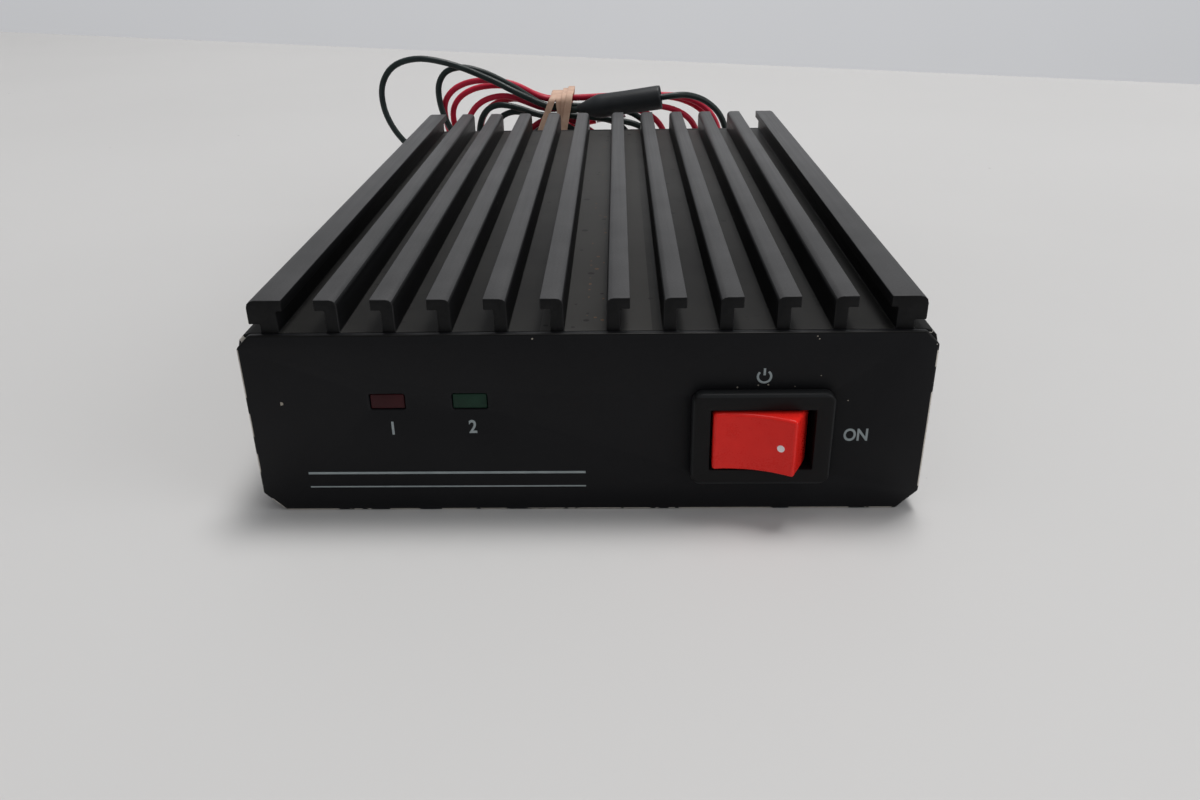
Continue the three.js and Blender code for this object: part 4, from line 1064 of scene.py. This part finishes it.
def socket_shell(node, title, x):
    """The shell: rounded flange corners, a barrel cut back to the root of its thread, four notches."""
    barrel_foot = rear_face + flange_thick
    barrel_tip = barrel_foot + barrel_long

    def shape(piece):
        def at_corner(edge):
            a, b = (point.co for point in edge.verts)
            along = abs(a.y - b.y) > 0.001 and math.hypot(a.x - b.x, a.z - b.z) < 0.0001
            return along and min(abs(a.x - x), abs(a.z - socket_z)) > corner_away

        pick(piece, "EDGE", at_corner)
        bpy.ops.mesh.bevel(offset=flange_round, segments=5, profile=0.5, clamp_overlap=True)
        done()

        def on_barrel(point):
            away = math.hypot(point.co.x - x, point.co.z - socket_z)
            return away > barrel_radius - edge_slack and point.co.y > barrel_foot + edge_slack

        shrink = root_radius / barrel_radius
        pick(piece, "VERT", on_barrel)
        bpy.ops.transform.resize(value=(shrink, 1, shrink), center_override=(x, 0, socket_z))
        done()
        notches = cross_cutter(reach=0.011, arm=0.0014, deep=0.0009, tip=1.0)
        sunk(piece, notches, (x, barrel_tip, socket_z), (0, -1, 0), math.pi / 4)
        bpy.data.objects.remove(notches)

    piece = softened(node, title, "socket_metal", 0.00014, socket_plating, inner=shape)
    bpy.ops.mesh.primitive_circle_add(vertices=3, radius=ridge_radius, fill_type="NOTHING")
    ridge = bpy.context.object
    ridge.name = title + "_thread"
    ridge.matrix_world = Matrix(((0, 1, 0, root_radius + 0.0001), (0, 0, 1, 0), (1, 0, 0, 0), (0, 0, 0, 1)))
    fixed(ridge)
    worked(
        ridge,
        "SCREW",
        angle=2 * math.pi,
        screw_offset=thread_step,
        iterations=int((barrel_long - thread_ends) / thread_step),
        steps=ridge_sides,
        render_steps=ridge_sides,
    )
    opened(ridge)
    bpy.ops.mesh.remove_doubles(threshold=merge_within)
    bpy.ops.mesh.select_all(action="DESELECT")
    bpy.ops.mesh.select_non_manifold()
    bpy.ops.mesh.fill()
    bpy.ops.mesh.select_all(action="SELECT")
    bpy.ops.mesh.normals_make_consistent(inside=False)
    done()
    ridge.data.materials.append(socket_plating)
    put(ridge, (x, barrel_foot + 0.0006, socket_z), (0, 1, 0))
    settle(smoothed(ridge, 0.5), "socket_metal")


for name, x in (("antenna", -0.028), ("radio", 0.003967)):
    socket_shell(f"{name}_socket_shell", f"{name}_shell", x)
    softened(f"{name}_socket_insulator", f"{name}_insulator", "white_insulator", 0.00012, socket_resin)
    softened(f"{name}_socket_contact", f"{name}_contact", "contact_brass", 0.0001, contact_brass)

# Bushing of the leads.
# A ribbed black nylon bushing snapped into the rear plate, which grips both leads where they come out.
bushing_rings = (
    (-0.0012, 0.0044), (0.0, 0.0044), (0.0001, 0.0057), (0.0009, 0.006), (0.0016, 0.0056), (0.0018, 0.0046),
    (0.0022, 0.0036), (0.0026, 0.0044), (0.0031, 0.0042), (0.0033, 0.0034), (0.0037, 0.0034), (0.0039, 0.004),
    (0.0044, 0.0038), (0.0046, 0.0032), (0.005, 0.0032), (0.0052, 0.0036), (0.0057, 0.0034), (0.0058, 0.003),
    (0.0056, 0.0024),
)
bushing = turned("ribbed_bushing", bushing_rings, switch_plastic)
put(bushing, (bushing_x, rear_face, bushing_z), (0, 1, 0))
settle(smoothed(bushing, 0.6), "black_plastic", "lead_bushing")


# Circuit board.
# A green coated board in the ribs of the channel, with pale pads and paler strips of copper under the
# coat.
def bands_along(place, axis, scale, bent):
    """Waves across an axis, more or less bent."""
    inputs = {"Vector": place, "Scale": scale, "Distortion": bent}
    return add(place.id_data, "TexWave", {"bands_direction": axis}, inputs).outputs["Fac"]


def board_finish():
    """Green coat over strips of copper, with pale pads."""
    finish, shader, place, weave = grained_finish("coated_board", 3000, 120)
    copper = stretched(bands_along(place, "X", 55, 3), 0.55, 0.6)
    colour = between(copper, (0.035, 0.13, 0.055), (0.06, 0.19, 0.075))
    colour = specked(place, colour, (0.55, 0.54, 0.52), 380, 0.2, 0.35)
    feed(shader, Base_Color=colour, Roughness=between(weave["Gloss"], 0.25, 0.45))
    bumped(shader, copper, 0.00003)
    return finish


coat(board_finish(), "main_board")

# Parts on the board.
# A flanged power transistor screwed to the channel, a changeover relay with its coil and hinged armature,
# two trimmer capacitors with slotted rotors, and the upright capacitor of the supply.
coat(socket_plating, "transistor_flange", "trimmer_1_rotor", "trimmer_2_rotor", "relay_armature")
ceramic = plain_finish("ceramic", (0.68, 0.65, 0.58), (0.8, 0.78, 0.72), 2400, 300, 0.35, 0.5, 0.00001)
coat(ceramic, "transistor_body")
coat(switch_plastic, "relay_base", "relay_cover")


def winding_finish():
    """Enamelled copper wire, turn beside turn."""
    finish, shader, place = blank_finish("wound_copper")
    turns = bands_along(place, "Z", 1600, 0.4)
    colour = between(turns, (0.18, 0.045, 0.015), (0.46, 0.16, 0.07))
    feed(shader, Base_Color=colour, Roughness=between(turns, 0.45, 0.28), Metallic=0.7)
    bumped(shader, turns, 0.00005)
    return finish


coat(winding_finish(), "relay_coil")
trimmer_resin = plain_finish(
    "trimmer_resin", (0.52, 0.42, 0.25), (0.66, 0.56, 0.37), 2600, 300, 0.4, 0.55, 0.00001
)
coat(trimmer_resin, "trimmer_1_base", "trimmer_2_base")
capacitor_sleeve = plain_finish(
    "capacitor_sleeve", (0.022, 0.036, 0.13), (0.034, 0.052, 0.17), 2000, 150, 0.3, 0.42, 0.00002
)
coat(capacitor_sleeve, "supply_capacitor")


# Stage.
# A pale painted table top with a plain wall behind it, lit softly by a large lamp overhead and by the
# pale room all round.
def stage_finish(title, dark, light, lift, scratched):
    """A pale surface that the camera and reflections see a little brighter than it is lit."""
    finish, shader, place = blank_finish(title)
    cloudy = noise(place, 5, 4)
    colour = between(cloudy, dark, light)
    if scratched:
        colour = specked(place, colour, (0.3, 0.3, 0.29), 130, 0.05, 0.09, 0.5)
    feed(shader, Base_Color=colour, Roughness=0.7, Emission_Color=(*light, 1))
    ways = add(place.id_data, "LightPath").outputs
    seen = count("MAXIMUM", ways["Is Camera Ray"], ways["Is Glossy Ray"])
    seen = count("MAXIMUM", seen, ways["Is Transmission Ray"])
    feed(shader, Emission_Strength=count("MULTIPLY", seen, lift))
    return finish


def flat_stage(title, place, size, turn, finish):
    """One large flat sheet of the stage."""
    bpy.ops.mesh.primitive_plane_add(size=1, location=place, rotation=turn)
    sheet = bpy.context.object
    sheet.name = title
    sheet.scale = (*size, 1)
    sheet.data.materials.append(finish)
    fixed(sheet)


# The far edge of the table runs through the middle place and along the line from the left to the right one.
table_back = Vector((-0.007, 0.48, 0))
edge_left, edge_right = (-0.477, 0.774), (0.313, 0.413)
table_turn = math.atan2(edge_right[1] - edge_left[1], edge_right[0] - edge_left[0])
table_deep = 3.0
table_middle = table_back + Vector((math.sin(table_turn), -math.cos(table_turn), 0)) * (table_deep / 2)
table_place = (table_middle.x, table_middle.y, -0.00005)
table_paint = stage_finish("pale_table", (0.56, 0.555, 0.55), (0.62, 0.615, 0.61), 0.0, True)
flat_stage("table_top", table_place, (5, table_deep), (0, 0, table_turn), table_paint)
wall_paint = stage_finish("pale_wall", (0.5, 0.505, 0.515), (0.53, 0.535, 0.55), 0.5, False)
flat_stage("wall", (0, 1.9, 0), (12, 7), (math.pi / 2, 0, 0), wall_paint)


def soft_lamp(title, place, wide, watts, colour):
    """A square panel of light that faces the middle of the table."""
    panel = bpy.data.lights.new(title, "AREA")
    panel.size = wide
    panel.energy = watts
    panel.color = colour
    lamp = shown(title, panel)
    lamp.location = place
    lamp.rotation_euler = (-Vector(place)).to_track_quat("-Z", "Y").to_euler()


soft_lamp("ceiling_lamp", (0.35, 0.48, 2.5), 0.8, 44.5, (1.0, 0.99, 0.98))
soft_lamp("room", (1.5, -0.5, 0.7), 1.2, 6.5, (0.98, 0.99, 1.0))

room = bpy.data.worlds.new("room")
room.use_nodes = True
bpy.context.scene.world = room
glow = room.node_tree.nodes["Background"].inputs
glow["Color"].default_value = (0.97, 0.98, 1.0, 1)
glow["Strength"].default_value = 0.34
bpy.ops.object.select_all(action="DESELECT")
